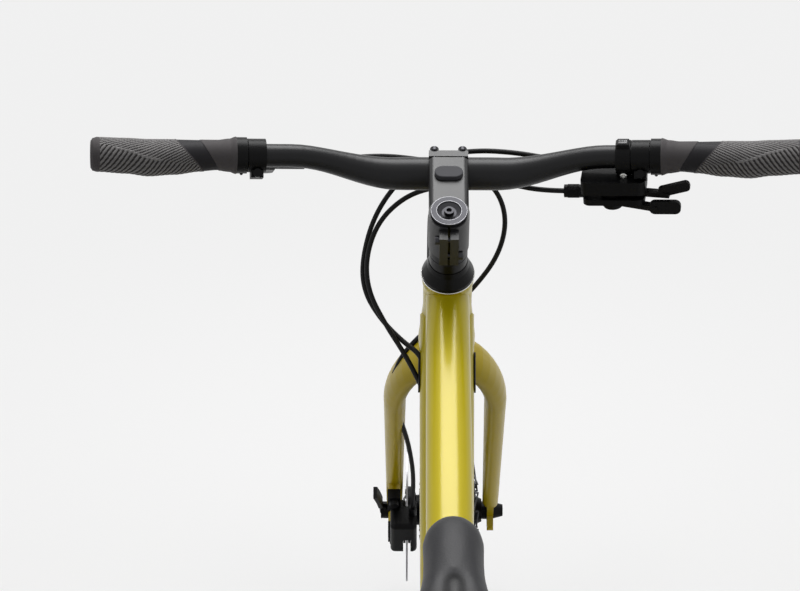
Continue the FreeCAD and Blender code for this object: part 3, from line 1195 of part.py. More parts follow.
def paddle(low, reach, back, pad_length, pad_height, pad_drop, pad_tilt):
    """Shifter paddle on the post: hub, slim arm and an upright pad facing the rider."""
    high = low + PADDLE_THICKNESS
    root = Vector(SHIFTER_POST.x, SHIFTER_POST.y, low)
    hub = rod(root, Vector(root.x, root.y, high), PADDLE_HUB_RADIUS)
    corner = root + Vector(-back, reach, -pad_drop)
    pad = Part.makeBox(PAD_DEPTH, pad_length, pad_height, corner - Vector(PAD_DEPTH / 2, 0, 0))
    pad = pad.makeFillet(0.42 * pad_height,
                         [edge for edge in pad.Edges if abs(edge.tangentAt(edge.FirstParameter).x) > 0.9])
    pad.rotate(corner, X_AXIS, pad_tilt)
    arm_line = Vector(-back, reach + 0.3 * pad_length, 0)
    side = Vector(-arm_line.y, arm_line.x, 0).normalize() * PADDLE_ARM_WIDTH / 2
    corners = [root + side, root + arm_line + side, root + arm_line - side, root - side, root + side]
    arm = outward(Part.Face(Part.makePolygon(corners)).extrude(Vector(0, 0, PADDLE_THICKNESS)))
    hole = rod(root - Z_AXIS, root + Z_AXIS * 20, SHIFTER_POST_RADIUS + RUNNING_GAP)
    return mirrored(on_bar(merged([hub, arm, pad]).cut(hole)))


def make_release_paddle():
    return paddle(LOWER_DECK + BODY_GAP, 46, 8, 31, 10, 0, RELEASE_PAD_TILT)


def make_thumb_paddle():
    return paddle(LOWER_DECK - 6 - LAYER + BODY_GAP, 36, 14, 30, 13.5, 3, 0)


# Wheels, drawn round the Y axis at the origin

def wheel_profile(corners):
    """Solid of revolution about Y from (radius, side) corners."""
    return turned(corners, Vector(), Y_AXIS)


def arc_profile(points):
    """Outline of three-point arcs through (radius, side) points."""
    at = [Vector(radius, 0, side) for radius, side in points]
    return [Part.Arc(a, b, c).toShape() for a, b, c in zip(at[::2], at[1::2], at[2::2])]


def tyre_arcs(top, widest, foot, foot_side, half_width):
    """Round profile from one bead over the crown to the other."""
    share = math.sqrt(0.5)
    shoulder = (widest + (top - widest) * share, half_width * share)
    flank = (foot + (widest - foot) * 0.36, foot_side + (half_width - foot_side) * 0.66)
    half = [(foot, foot_side), flank, (widest, half_width), shoulder]
    return half + [(top, 0.0)] + [(radius, -side) for radius, side in reversed(half)]


def make_tyre():
    """Tyre with open beads, and the inner tube with its valve."""
    seat = RIM_WIDTH / 2 - RIM_WALL - 0.2
    widest = TYRE_RADIUS - TYRE_WIDTH / 2
    foot = BEAD_RADIUS + RIM_FLANGE + 0.4
    outer = arc_profile(tyre_arcs(TYRE_RADIUS, widest, foot, seat, TYRE_WIDTH / 2))
    inner = arc_profile(tyre_arcs(TYRE_RADIUS - TREAD_THICKNESS, widest, foot, seat - TYRE_WALL,
                                  TYRE_WIDTH / 2 - TYRE_WALL))
    low = BEAD_RADIUS + 0.2

    def bead(side):
        corners = [Vector(foot, 0, seat * side), Vector(low, 0, seat * side),
                   Vector(low, 0, (seat - TYRE_WALL) * side), Vector(foot, 0, (seat - TYRE_WALL) * side)]
        return [Part.LineSegment(a, b).toShape() for a, b in zip(corners, corners[1:])]

    outline = Part.Wire(Part.__sortEdges__(outer + inner + bead(1) + bead(-1)))
    tyre = outward(Part.Face(outline).revolve(Vector(), Z_AXIS, 360))
    tyre.Placement = Placement(Vector(), Rotation(Z_AXIS, Y_AXIS))
    tube_radius = TYRE_WIDTH / 2 - TREAD_THICKNESS - 0.3
    tube_middle = TYRE_RADIUS - TREAD_THICKNESS - 0.3 - tube_radius
    tube = Part.makeTorus(tube_middle, tube_radius, Vector(), Y_AXIS)
    hollow = Part.makeTorus(tube_middle, tube_radius - 1.2, Vector(), Y_AXIS)
    valve = rod(Vector(0, 0, -tube_middle + tube_radius - 1), Vector(0, 0, VALVE_LENGTH - RIM_INNER),
                VALVE_RADIUS)
    tube = spun(largest(merged([tube, valve]).cut(hollow)), Vector(), Y_AXIS, VALVE_ANGLE)
    return [tyre, tube]


def make_rim():
    """Double-walled rim with a valve hole."""
    half = RIM_WIDTH / 2
    top = BEAD_RADIUS + RIM_FLANGE
    seat = half - RIM_WALL
    well = BEAD_RADIUS - 2
    outer = [(top, half), (top, seat), (BEAD_RADIUS, seat), (well, 0.4 * half), (well, -0.4 * half),
             (BEAD_RADIUS, -seat), (top, -seat), (top, -half), (RIM_INNER + 6, -half + 1),
             (RIM_INNER, -0.5 * half), (RIM_INNER, 0.5 * half), (RIM_INNER + 6, half - 1)]
    chamber_top = well - RIM_WALL
    chamber = [(chamber_top, 0.55 * half), (RIM_INNER + 6.5, half - 1 - RIM_WALL),
               (RIM_INNER + RIM_WALL, 0.45 * half), (RIM_INNER + RIM_WALL, -0.45 * half),
               (RIM_INNER + 6.5, RIM_WALL + 1 - half), (chamber_top, -0.55 * half)]
    hole = rod(Vector(0, 0, -BEAD_RADIUS - 2), Vector(0, 0, -RIM_INNER + 5), VALVE_RADIUS + BODY_GAP)
    hole.rotate(Vector(), Y_AXIS, VALVE_ANGLE)
    return wheel_profile(outer).cut([wheel_profile(chamber), hole])


def one_spoke(flange_side, facing, leading):
    """Spoke from its head in the flange to its nipple at the rim, at hub angle zero."""
    step = 360 / (2 * SPOKES_PER_SIDE)
    lead = math.radians(2 * SPOKE_CROSSES * step) * (1 if leading else -1)
    half = FLANGE_THICKNESS / 2
    outside = leading
    shaft_side = half + SPOKE_RADIUS + (0.065 * abs(flange_side) if outside else 0.1)
    shaft_y = flange_side + facing * (shaft_side if outside else -shaft_side)
    head_y = flange_side - facing * (half + 0.1) * (1 if outside else -1)
    start = Vector(FLANGE_HOLES_RADIUS, shaft_y, 0)
    reach = RIM_INNER - BODY_GAP
    end = Vector(reach * math.cos(lead), facing * 2.5, reach * math.sin(lead))
    line = (end - start).normalize()
    head_line = Vector(0, head_y - shaft_y, 0).normalize()
    head = Vector(FLANGE_HOLES_RADIUS, head_y, 0)
    return merged([rod(start, end - line * 1, SPOKE_RADIUS), Part.makeSphere(SPOKE_RADIUS, start),
                   rod(start, head, SPOKE_RADIUS), rod(head, head + head_line * 1.2, 1.9),
                   rod(end - line * NIPPLE_LENGTH, end, NIPPLE_RADIUS)])


def make_spokes(left_flange, right_flange):
    """Crossed spokes of one wheel with their nipples."""
    step = 360 / SPOKES_PER_SIDE
    spokes = []
    for flange_side, facing, offset in ((left_flange, 1, 0), (-right_flange, -1, step / 2)):
        for leading in (True, False):
            spoke = one_spoke(flange_side, facing, leading)
            for index in range(0, SPOKES_PER_SIDE, 2):
                angle = (index + (0 if leading else 1)) * step + offset
                spokes.append(spun(spoke, Vector(), Y_AXIS, -angle))
    return spokes


def make_hub(left_flange, right_flange, rotor_plane, left_end, right_end):
    """Hub shell with drilled flanges and a rotor seat on the left."""
    half = FLANGE_THICKNESS / 2
    seat = rotor_plane - ROTOR_THICKNESS / 2 - 0.02
    profile = [(HUB_BORE, -right_end), (HUB_RADIUS - 1, -right_end), (HUB_RADIUS + 2, -right_flange - half),
               (FLANGE_RADIUS, -right_flange - half), (FLANGE_RADIUS, -right_flange + half),
               (HUB_RADIUS + 3, -right_flange + half), (HUB_RADIUS, -right_flange + 12),
               (HUB_RADIUS, left_flange - 12), (HUB_RADIUS + 3, left_flange - half),
               (FLANGE_RADIUS, left_flange - half), (FLANGE_RADIUS, left_flange + half),
               (HUB_RADIUS + 3, left_flange + half), (HUB_RADIUS + 3, seat - 9),
               (ROTOR_BOLT_CIRCLE + 4.5, seat - 7), (ROTOR_BOLT_CIRCLE + 4.5, seat),
               (ROTOR_CENTRE_RADIUS - SEAT_GAP, seat), (ROTOR_CENTRE_RADIUS - SEAT_GAP, rotor_plane + 1.5),
               (HUB_RADIUS - 1, left_end), (HUB_BORE, left_end)]
    holes = []
    for flange_side, offset in ((left_flange, 0.0), (-right_flange, 0.5)):
        for index in range(SPOKES_PER_SIDE):
            angle = (index + offset) * 360 / SPOKES_PER_SIDE
            hole = rod(Vector(FLANGE_HOLES_RADIUS, flange_side - 3, 0),
                       Vector(FLANGE_HOLES_RADIUS, flange_side + 3, 0),
                       SPOKE_RADIUS + 0.25)
            holes.append(spun(hole, Vector(), Y_AXIS, -angle))
    holes += rotor_bolt_rods(seat - 6.5, seat + 1, 2.4 + SEAT_GAP)
    return wheel_profile(profile).cut(holes)


def rotor_bolt_rods(low, high, radius):
    """Round bars on the rotor's bolt circle."""
    bar = rod(Vector(ROTOR_BOLT_CIRCLE, low, 0), Vector(ROTOR_BOLT_CIRCLE, high, 0), radius)
    return [spun(bar, Vector(), Y_AXIS, index * 360 / ROTOR_ARMS) for index in range(ROTOR_ARMS)]


def make_rotor(plane):
    """Vented brake rotor on six swept arms, with its bolts."""
    low = plane - ROTOR_THICKNESS / 2
    high = plane + ROTOR_THICKNESS / 2

    def disc(radius):
        return rod(Vector(0, low, 0), Vector(0, high, 0), radius)

    band_inner = ROTOR_RADIUS - ROTOR_BAND
    band = disc(ROTOR_RADIUS).cut(disc(band_inner))
    hub = disc(ROTOR_BOLT_CIRCLE + 5)
    arms = []
    for index in range(ROTOR_ARMS):
        arm = block(Vector(8, low, -4), Vector(band_inner + 3, high, 4))
        arm = spun(arm, Vector(8, 0, 0), Y_AXIS, 22)
        arms.append(spun(arm, Vector(), Y_AXIS, index * 360 / ROTOR_ARMS))
    plate = merged([band, hub] + arms)
    vents = [disc(ROTOR_CENTRE_RADIUS)] + rotor_bolt_rods(low - 1, high + 1, 2.4 + SEAT_GAP)
    count = 4 * ROTOR_ARMS
    for index in range(count):
        for radius, size, lag in ((ROTOR_RADIUS - 4.5, 2.0, 0.0), (ROTOR_RADIUS - 9.5, 2.6, 0.35)):
            vent = rod(Vector(radius, low - 1, 0), Vector(radius, high + 1, 0), size)
            vents.append(spun(vent, Vector(), Y_AXIS, (index + lag) * 360 / count))
    plate = plate.cut(vents)
    bolts = []
    for shank, head in zip(rotor_bolt_rods(low - 6, high + 1, 2.4),
                           rotor_bolt_rods(high + 0.02, high + 1.4, 4.3)):
        bolts.append(merged([shank, head]))
    return [largest(plate)] + bolts


def make_axle(half_width, tip_thickness, left_end, right_end, right_extra, lever_angle):
    """Hollow axle with cones and end nuts, and the skewer with its nut and cam barrel."""
    reach = half_width + tip_thickness - 2
    shapes = [rod(Vector(0, -reach - right_extra, 0), Vector(0, reach, 0), AXLE_RADIUS)]
    cone_radius = HUB_BORE - RUNNING_GAP
    shapes.append(rod(Vector(0, left_end - 12, 0), Vector(0, left_end + 0.1, 0), cone_radius))
    shapes.append(rod(Vector(0, -right_end - 0.1, 0), Vector(0, 12 - right_end, 0), cone_radius))
    shapes.append(rod(Vector(0, left_end + BODY_GAP, 0), Vector(0, half_width, 0), HUB_RADIUS - 4))
    shapes.append(rod(Vector(0, -half_width, 0), Vector(0, -right_end - BODY_GAP, 0), HUB_RADIUS - 4))
    shapes.append(rod(Vector(0, left_end, 0), Vector(0, left_end + BODY_GAP, 0), AXLE_RADIUS + 1))
    bore = rod(Vector(0, -200, 0), Vector(0, 200, 0), SKEWER_RADIUS + SEAT_GAP)
    axle = merged(shapes).cut(bore)
    left_face = half_width + tip_thickness
    right_face = left_face + right_extra
    bar = rod(Vector(0, -right_face - NUT_LENGTH, 0), Vector(0, left_face + 2, 0), SKEWER_RADIUS)
    nut = cone(Vector(0, -right_face - 0.02, 0), Vector(0, -right_face - NUT_LENGTH, 0), NUT_RADIUS,
               NUT_RADIUS - 3)
    barrel = rod(Vector(0, left_face + 0.02, 0), Vector(0, left_face + 12, 0), NUT_RADIUS)
    heading = math.radians(lever_angle)
    along = Vector(math.cos(heading), 0, math.sin(heading))
    pivot = Vector(0, left_face + 8, 0)
    across_line = Vector(-along.z, 0, along.x)
    cam_room = rod(pivot - across_line * (3 + BODY_GAP), pivot + across_line * (3 + BODY_GAP), 30)
    open_side = block(Vector(-40, left_face + 2.5, -40), Vector(40, left_face + 30, 40))
    barrel = barrel.cut(cam_room.common(open_side))
    pin = rod(pivot - across_line * 7, pivot + across_line * 7, 2.0)
    skewer = merged([bar, nut, barrel, pin])
    return [axle, skewer]


def make_qr_lever(half_width, tip_thickness, lever_angle):
    """Quick-release lever folded against the left side, curved outwards at its end."""
    pivot_y = half_width + tip_thickness + 8
    hub = rod(Vector(0, pivot_y, -3), Vector(0, pivot_y, 3), 5.0)
    end = QR_LEVER_LENGTH
    inner = [Vector(2, pivot_y + 1, -3), Vector(0.5 * end, pivot_y + 2.5, -3), Vector(end, pivot_y + 8, -3)]
    outer = [Vector(end - 1, pivot_y + 12, -3), Vector(0.5 * end, pivot_y + 7, -3),
             Vector(2, pivot_y + 5, -3)]
    edges = [Part.Arc(*inner).toShape(), Part.LineSegment(inner[2], outer[0]).toShape(),
             Part.Arc(*outer).toShape(), Part.LineSegment(outer[2], inner[0]).toShape()]
    arm = outward(Part.Face(Part.Wire(edges)).extrude(Vector(0, 0, 6)))
    grip = block(Vector(0.4 * end, pivot_y - 2, -7), Vector(end - 0.5, pivot_y + 20, 7))
    wide_edges = [edge.copy() for edge in edges]
    wide = outward(Part.Face(Part.Wire(wide_edges)).extrude(Vector(0, 0, 14)))
    wide.translate(Vector(0, 0, -4))
    hole = rod(Vector(0, pivot_y, -10), Vector(0, pivot_y, 10), 2.0 + RUNNING_GAP)
    lever = merged([hub, arm, wide.common(grip)]).cut(hole)
    return spun(lever, Vector(), Y_AXIS, -lever_angle)


# Brake calipers, drawn with the axle at the origin, the mount side on +X and the bolts spaced along Z

def caliper_parts(back, along, rotor_plane, inner, outer, post_side, post_radius, post_face, fitting):
    """Caliper body, pads and bolts, with the posts and bolt holes of what carries it."""
    middle = Vector(-back, 0, along)
    half_length = CALIPER_LENGTH / 2
    low = Vector(middle.x - CALIPER_DEPTH / 2, rotor_plane - inner, along - half_length)
    high = Vector(middle.x + CALIPER_DEPTH / 2, rotor_plane + outer, along + half_length)
    body = block(low, high)
    body = body.makeFillet(5, body.Edges)
    ear_face = middle.x + CALIPER_DEPTH / 2
    slot = rod(Vector(0, rotor_plane - CALIPER_SLOT / 2, 0), Vector(0, rotor_plane + CALIPER_SLOT / 2, 0),
               ROTOR_RADIUS + 2)
    shapes = [body]
    bolts = []
    posts = []
    holes = []
    for level in (along - POST_SPACING / 2, along + POST_SPACING / 2):
        toward = along + (half_length - 6) * (1 if level > along else -1)
        shapes.append(block(Vector(ear_face - 12, post_side - post_radius, min(level - 7, toward)),
                            Vector(ear_face, post_side + post_radius, max(level + 7, toward))))
        start = Vector(ear_face - 12, post_side, level)
        finish = Vector(ear_face + 14, post_side, level)
        head = rod(start - X_AXIS * 6, start, 5.0)
        bolts.append(merged([head, rod(start, finish, POST_BOLT_RADIUS)]))
        holes.append(rod(start - X_AXIS * 7, finish + X_AXIS, POST_BOLT_RADIUS + SEAT_GAP))
        posts.append(rod(Vector(ear_face + SEAT_GAP, post_side, level),
                         Vector(post_face, post_side, level), post_radius))
    top = fitting + Z_AXIS * HOSE_SEAT_DEPTH
    shapes.append(rod(top - Z_AXIS * FITTING_LENGTH, top, FITTING_RADIUS))
    hose_seat = rod(fitting, top + Z_AXIS, HOSE_RADIUS + SEAT_GAP)
    body = largest(merged(shapes).cut([slot, hose_seat] + holes))
    pads = []
    pad_low = ROTOR_THICKNESS / 2 + PAD_GAP
    window = block(Vector(middle.x - 13, rotor_plane - 20, along - 15),
                   Vector(middle.x + 13, rotor_plane + 20, along + 15))
    track = rod(Vector(0, rotor_plane - 20, 0), Vector(0, rotor_plane + 20, 0), ROTOR_RADIUS - 0.5)
    inside = rod(Vector(0, rotor_plane - 20, 0), Vector(0, rotor_plane + 20, 0), ROTOR_RADIUS - ROTOR_BAND)
    for side in (1, -1):
        plate = block(Vector(-200, min(side * pad_low, side * (pad_low + PAD_THICKNESS)) + rotor_plane, -200),
                      Vector(200, max(side * pad_low, side * (pad_low + PAD_THICKNESS)) + rotor_plane, 200))
        pads.append(plate.common(window).common(track).cut(inside))
    return [body] + bolts, pads, posts, holes


FRONT_CALIPER_ALONG = math.sqrt(CALIPER_RADIUS**2 - FRONT_CALIPER_BACK**2)
REAR_CALIPER_ALONG = math.sqrt(CALIPER_RADIUS**2 - REAR_CALIPER_UP**2)
FRONT_BRAKE = STEER.multiply(Placement(Vector(FORK_RAKE, 0, 0), Rotation()))
STAY_TURN = math.degrees(math.atan2(STAY_LINE.x, STAY_LINE.z))
REAR_BRAKE = Placement(REAR, Rotation(Y_AXIS, STAY_TURN))
CALIPER_END = CALIPER_LENGTH / 2 + 4
FRONT_FITTING = Vector(-FRONT_CALIPER_BACK, FRONT_FITTING_SIDE, FRONT_CALIPER_ALONG + CALIPER_END)
REAR_FITTING = Vector(-REAR_CALIPER_UP, REAR_FITTING_SIDE, REAR_CALIPER_ALONG + CALIPER_END)


# Drivetrain

def pitch_radius(teeth):
    return CHAIN_PITCH / (2 * math.sin(math.pi / teeth))


def toothed_disc(teeth, phase, thickness):
    """Sprocket blank in the XZ plane at Y zero, with a tooth gap at the phase angle."""
    radius = pitch_radius(teeth)
    step = 2 * math.pi / teeth
    seat_spread = math.radians(55)
    tip_half = 0.9 / (radius + TOOTH_TIP)

    def polar(distance, angle):
        return Vector(distance * math.cos(angle), 0, distance * math.sin(angle))

    edges = []
    for index in range(teeth):
        angle = phase + index * step
        centre = polar(radius, angle)
        low, bottom, high = [centre + polar(TOOTH_SEAT, angle + math.pi + turn)
                             for turn in (seat_spread, 0, -seat_spread)]
        tip = angle + step / 2
        first = polar(radius + TOOTH_TIP, tip - tip_half)
        second = polar(radius + TOOTH_TIP, tip + tip_half)
        following = polar(radius, angle + step) + polar(TOOTH_SEAT, angle + step + math.pi + seat_spread)
        edges.append(Part.Arc(low, bottom, high).toShape())
        edges.append(Part.LineSegment(high, first).toShape())
        edges.append(Part.LineSegment(first, second).toShape())
        edges.append(Part.LineSegment(second, following).toShape())
    face = Part.Face(Part.Wire(edges))
    solid = outward(face.extrude(Vector(0, thickness, 0)))
    solid.translate(Vector(0, -thickness / 2, 0))
    return solid


class ChainLoop:
    """Chain path round chainring, tension pulley, guide pulley and cog, in the XZ plane."""

    def __init__(self, cage_angle):
        heading = math.radians(cage_angle)
        self.guide = REAR + Vector(GUIDE_FORWARD, 0, -GUIDE_DOWN)
        self.tension = self.guide + Vector(math.cos(heading), 0, math.sin(heading)) * CAGE_LENGTH
        self.wheels = [(BRACKET, CHAINRING_TEETH, -1), (self.tension, PULLEY_TEETH, -1),
                       (self.guide, PULLEY_TEETH, 1), (REAR, COG_TEETH[CHAIN_COG], -1)]
        pairs = zip(self.wheels, self.wheels[1:] + self.wheels[:1])
        spans = [self.span(first, second) for first, second in pairs]
        self.stretches = []
        self.phases = []
        count = 0.0
        for index, (centre, teeth, spin) in enumerate(self.wheels):
            arrive = self.angle(spans[index - 1][1], centre)
            leave = self.angle(spans[index][0], centre)
            sweep = ((leave - arrive) * spin) % (2 * math.pi)
            step = 2 * math.pi / teeth
            self.stretches.append(("arc", count, sweep / step, centre, teeth, spin, arrive))
            self.phases.append(arrive + spin * step * (math.ceil(count) - count))
            count += sweep / step
            start, end = spans[index]
            self.stretches.append(("run", count, (end - start).Length / CHAIN_PITCH, start, end))
            count += (end - start).Length / CHAIN_PITCH
        self.links = count

    @staticmethod
    def angle(point, centre):
        return math.atan2(point.z - centre.z, point.x - centre.x)

    @staticmethod
    def span(first, second):
        """Tangent run from one wheel to the next, with each wheel's sense of turning."""
        start, start_teeth, start_spin = first
        end, end_teeth, end_spin = second
        start_radius = start_spin * pitch_radius(start_teeth)
        end_radius = end_spin * pitch_radius(end_teeth)
        gap = Vector(end.x - start.x, 0, end.z - start.z)
        offset = end_radius - start_radius
        run = math.sqrt(gap.Length**2 - offset**2)
        square = Vector(-gap.z, 0, gap.x)
        line = (gap * run - square * offset) * (1 / gap.Length**2)
        left = Vector(-line.z, 0, line.x)
        return start - left * start_radius, end - left * end_radius

    def roller(self, place):
        """Point of the roller at a link count along the loop."""
        for stretch in self.stretches:
            if place <= stretch[1] + stretch[2]:
                break
        along = place - stretch[1]
        if stretch[0] == "run":
            return stretch[3] + (stretch[4] - stretch[3]) * (along / stretch[2])
        centre, teeth, spin, arrive = stretch[3:]
        angle = arrive + spin * along * 2 * math.pi / teeth
        return centre + Vector(math.cos(angle), 0, math.sin(angle)) * pitch_radius(teeth)


def solve_chain():
    """Cage angle that closes the chain on a whole, even number of links."""
    middle = -72.0
    target = 2 * round(ChainLoop(middle).links / 2)
    low, high = middle - 45, middle + 45
    for _ in range(60):
        middle = (low + high) / 2
        if (ChainLoop(middle).links - target) * (ChainLoop(high).links - target) > 0:
            high = middle
        else:
            low = middle
    print(f"chain links {target}, cage angle {middle:.2f}")
    return ChainLoop(middle), target


def chain_link(outer):
    """One link along X between two pins, outer or inner, at Y zero."""
    gap = CHAIN_INNER_WIDTH / 2 + (PLATE_THICKNESS + 0.05 if outer else 0)
    ends = (Vector(0, 0, 0), Vector(CHAIN_PITCH, 0, 0))
    shapes = []
    for low in (gap, -gap - PLATE_THICKNESS):
        high = low + PLATE_THICKNESS
        shapes.append(bone(ends[0], PLATE_RADIUS, ends[0] + X_AXIS * 0.01, PLATE_RADIUS, low, high))
        shapes.append(bone(ends[1], PLATE_RADIUS, ends[1] + X_AXIS * 0.01, PLATE_RADIUS, low, high))
        shapes.append(block(Vector(0, low, -PLATE_WAIST), Vector(CHAIN_PITCH, high, PLATE_WAIST)))
    if outer:
        reach = gap + PLATE_THICKNESS + 0.2
        shapes += [across(end, -reach, reach, CHAIN_PIN_RADIUS) for end in ends]
        return merged(shapes)
    shapes += [across(end, -gap, gap, ROLLER_RADIUS) for end in ends]
    holes = [across(end, -5, 5, CHAIN_PIN_RADIUS + SEAT_GAP) for end in ends]
    return merged(shapes).cut(holes)


def make_chain(loop, count):
    links = []
    inner, outer = chain_link(False), chain_link(True)
    rollers = [loop.roller(place) for place in range(count)]
    for index in range(count):
        start = rollers[index]
        end = rollers[(index + 1) % count]
        middle = (start + end) * 0.5
        turn = math.degrees(math.atan2(start.z - end.z, end.x - start.x))
        link = (outer if index % 2 else inner).copy()
        link.translate(Vector(-CHAIN_PITCH / 2, 0, 0))
        link.Placement = Placement(Vector(middle.x, -CHAINLINE, middle.z),
                                   Rotation(Y_AXIS, turn)).multiply(link.Placement)
        links.append(link)
    return links


def chainring_bolt_places():
    places = []
    for index in range(CHAINRING_BOLTS):
        angle = math.radians(45 + index * 360 / CHAINRING_BOLTS)
        places.append(BRACKET + Vector(math.cos(angle), 0, math.sin(angle)) * CHAINRING_BOLT_CIRCLE)
    return places


def make_chainring(phase):
    """Toothed ring with inward tabs, and its bolts."""
    half = TOOTH_THICKNESS / 2
    ring = toothed_disc(CHAINRING_TEETH, phase, TOOTH_THICKNESS)
    ring.translate(BRACKET - Y_AXIS * CHAINLINE)
    inner = pitch_radius(CHAINRING_TEETH) - 17
    low, high = -CHAINLINE - half, -CHAINLINE + half
    ring = ring.cut(across(BRACKET, low - 1, high + 1, inner))
    tabs = []
    bolts = []
    holes = []
    for place in chainring_bolt_places():
        out = (place - BRACKET).normalize()
        tabs.append(bone(place, 9, BRACKET + out * (inner + 1), 9.5, low, high))
        holes.append(across(place, low - 1, high + 1, CHAINRING_BOLT_RADIUS + SEAT_GAP))
        spider_face = low - 0.02 - SPIDER_THICKNESS
        bolts.append(merged([across(place, spider_face, high, CHAINRING_BOLT_RADIUS),
                             across(place, high + 0.02, high + 2, 6.0),
                             across(place, high - 0.01, high + 0.03, CHAINRING_BOLT_RADIUS),
                             across(place, spider_face - 2, spider_face - 0.02, 6.0),
                             across(place, spider_face - 0.03, spider_face, CHAINRING_BOLT_RADIUS)]))
    return [largest(merged([ring] + tabs).cut(holes))] + bolts


SPIDER_THICKNESS = 4.5


def crank_arm(pedal, side):
    """Crank arm on one side: hub on the spindle, tapered arm and pedal eye."""
    inner, outer = CRANK_FACE, CRANK_FACE + CRANK_THICKNESS
    low, high = (inner, outer) if side > 0 else (-outer, -inner)
    arm = bone(BRACKET, CRANK_HUB_RADIUS, pedal, CRANK_EYE_RADIUS, low, high)
    edges = [edge for edge in arm.Edges if abs(edge.BoundBox.YMax - edge.BoundBox.YMin) < 0.01]
    arm = arm.makeFillet(3, edges)
    cup_face = BRACKET_SHELL_WIDTH / 2 + BRACKET_CUP_WIDTH + BODY_GAP
    hub = across(BRACKET, *sorted((side * cup_face, side * (inner + 2))), CRANK_HUB_RADIUS - 1)
    return merged([arm, hub])


def make_cranks():
    """Right arm with its spider, left arm, spindle and the two pedal spindles."""
    right_pedal = BRACKET + X_AXIS * CRANK_LENGTH
    left_pedal = BRACKET - X_AXIS * CRANK_LENGTH
    half = TOOTH_THICKNESS / 2
    high = -CHAINLINE - half - 0.02
    low = high - SPIDER_THICKNESS
    spider = [bone(BRACKET, 14, place, 9, low, high) for place in chainring_bolt_places()]
    holes = [across(place, low - 1, high + 1, CHAINRING_BOLT_RADIUS + SEAT_GAP)
             for place in chainring_bolt_places()]
    bore = across(BRACKET, -100, 100, SPINDLE_RADIUS + SEAT_GAP)
    eye = PEDAL_SPINDLE_RADIUS + SEAT_GAP
    right = merged([crank_arm(right_pedal, -1)] + spider)
    right = largest(right.cut(holes + [bore, across(right_pedal, -100, 0, eye)]))
    left = largest(crank_arm(left_pedal, 1).cut([bore, across(left_pedal, 0, 100, eye)]))
    end = CRANK_FACE + CRANK_THICKNESS
    spindle = across(BRACKET, -end, end, SPINDLE_RADIUS)
    spindle = spindle.cut(across(BRACKET, -end - 1, end + 1, SPINDLE_RADIUS - 3))
    reach = end + 2 + PEDAL_LENGTH - 8
    right_spindle = across(right_pedal, -reach, -CRANK_FACE, PEDAL_SPINDLE_RADIUS)
    left_spindle = across(left_pedal, CRANK_FACE, reach, PEDAL_SPINDLE_RADIUS)
    return [right, left, spindle, right_spindle, left_spindle]


def make_pedal(side):
    """Flat pedal: open frame round a barrel on the spindle."""
    centre = BRACKET + X_AXIS * (CRANK_LENGTH * -side)
    inner = CRANK_FACE + CRANK_THICKNESS + 2
    half_depth, half_height = PEDAL_DEPTH / 2, PEDAL_HEIGHT / 2
    frame = block(Vector(-half_depth, inner, -half_height),
                  Vector(half_depth, inner + PEDAL_LENGTH, half_height))
    frame = frame.makeFillet(6, [edge for edge in frame.Edges
                                 if abs(edge.tangentAt(edge.FirstParameter).z) > 0.9])
    windows = []
    for ahead in (1, -1):
        near, far = PEDAL_BARREL_RADIUS, half_depth - PEDAL_RIM
        windows.append(block(Vector(min(ahead * near, ahead * far), inner + PEDAL_RIM, -half_height - 1),
                             Vector(max(ahead * near, ahead * far), inner + PEDAL_LENGTH - PEDAL_RIM,
                                    half_height + 1)))
    bore = rod(Vector(0, inner - 1, 0), Vector(0, inner + PEDAL_LENGTH - 6, 0),
               PEDAL_SPINDLE_RADIUS + RUNNING_GAP)
    pedal = frame.cut(windows + [bore])
    if side < 0:
        pedal = mirrored(pedal)
    pedal.translate(centre)
    return pedal


def cog_plane(index):
    """Y of one cog, smallest outermost."""
    return -(CHAINLINE + (CHAIN_COG - index) * COG_SPACING)


FREEHUB_INNER = -REAR_FLANGE_RIGHT - FLANGE_THICKNESS / 2 - 2.6
FREEHUB_OUTER = cog_plane(0) - 2.2


def make_cassette(phase):
    """Nine cogs with their spacers, the freehub body and the lockring."""
    solids = []
    half = TOOTH_THICKNESS / 2
    for index, teeth in enumerate(COG_TEETH):
        plane = cog_plane(index)
        cog = toothed_disc(teeth, phase if index == CHAIN_COG else 0.0, TOOTH_THICKNESS)
        cog.translate(REAR + Y_AXIS * plane)
        root = pitch_radius(teeth) - TOOTH_SEAT
        if index + 1 < len(COG_TEETH):
            spacer = across(REAR, plane + half, plane + COG_SPACING - half - 0.02, min(21.0, root))
            cog = merged([cog, spacer])
        cuts = [across(REAR, plane - 5, plane + 8, min(FREEHUB_RADIUS, root - 2) + SEAT_GAP)]
        window = (root - COG_ARM - COG_WINDOW_START) / 2
        middle = COG_WINDOW_START + window
        reach = min(window * 0.9, middle * math.sin(math.pi / COG_WINDOWS) - COG_ARM / 2)
        if window > COG_ARM * 0.75:
            for step in range(COG_WINDOWS):
                hole = across(REAR + X_AXIS * middle, plane - 5, plane + 8, reach)
                cuts.append(spun(hole, REAR, Y_AXIS, step * 360 / COG_WINDOWS))
        solids.append(largest(cog.cut(cuts)))
    step_plane = cog_plane(1) - half + SEAT_GAP
    small = min(FREEHUB_RADIUS, pitch_radius(COG_TEETH[0]) - TOOTH_SEAT - 2)
    freehub = merged([across(REAR, step_plane, FREEHUB_INNER, FREEHUB_RADIUS),
                      across(REAR, FREEHUB_OUTER, step_plane, small)])
    solids.append(freehub.cut(across(REAR, FREEHUB_OUTER - 1, FREEHUB_INNER + 1, HUB_BORE)))
    return solids


# Rear derailleur

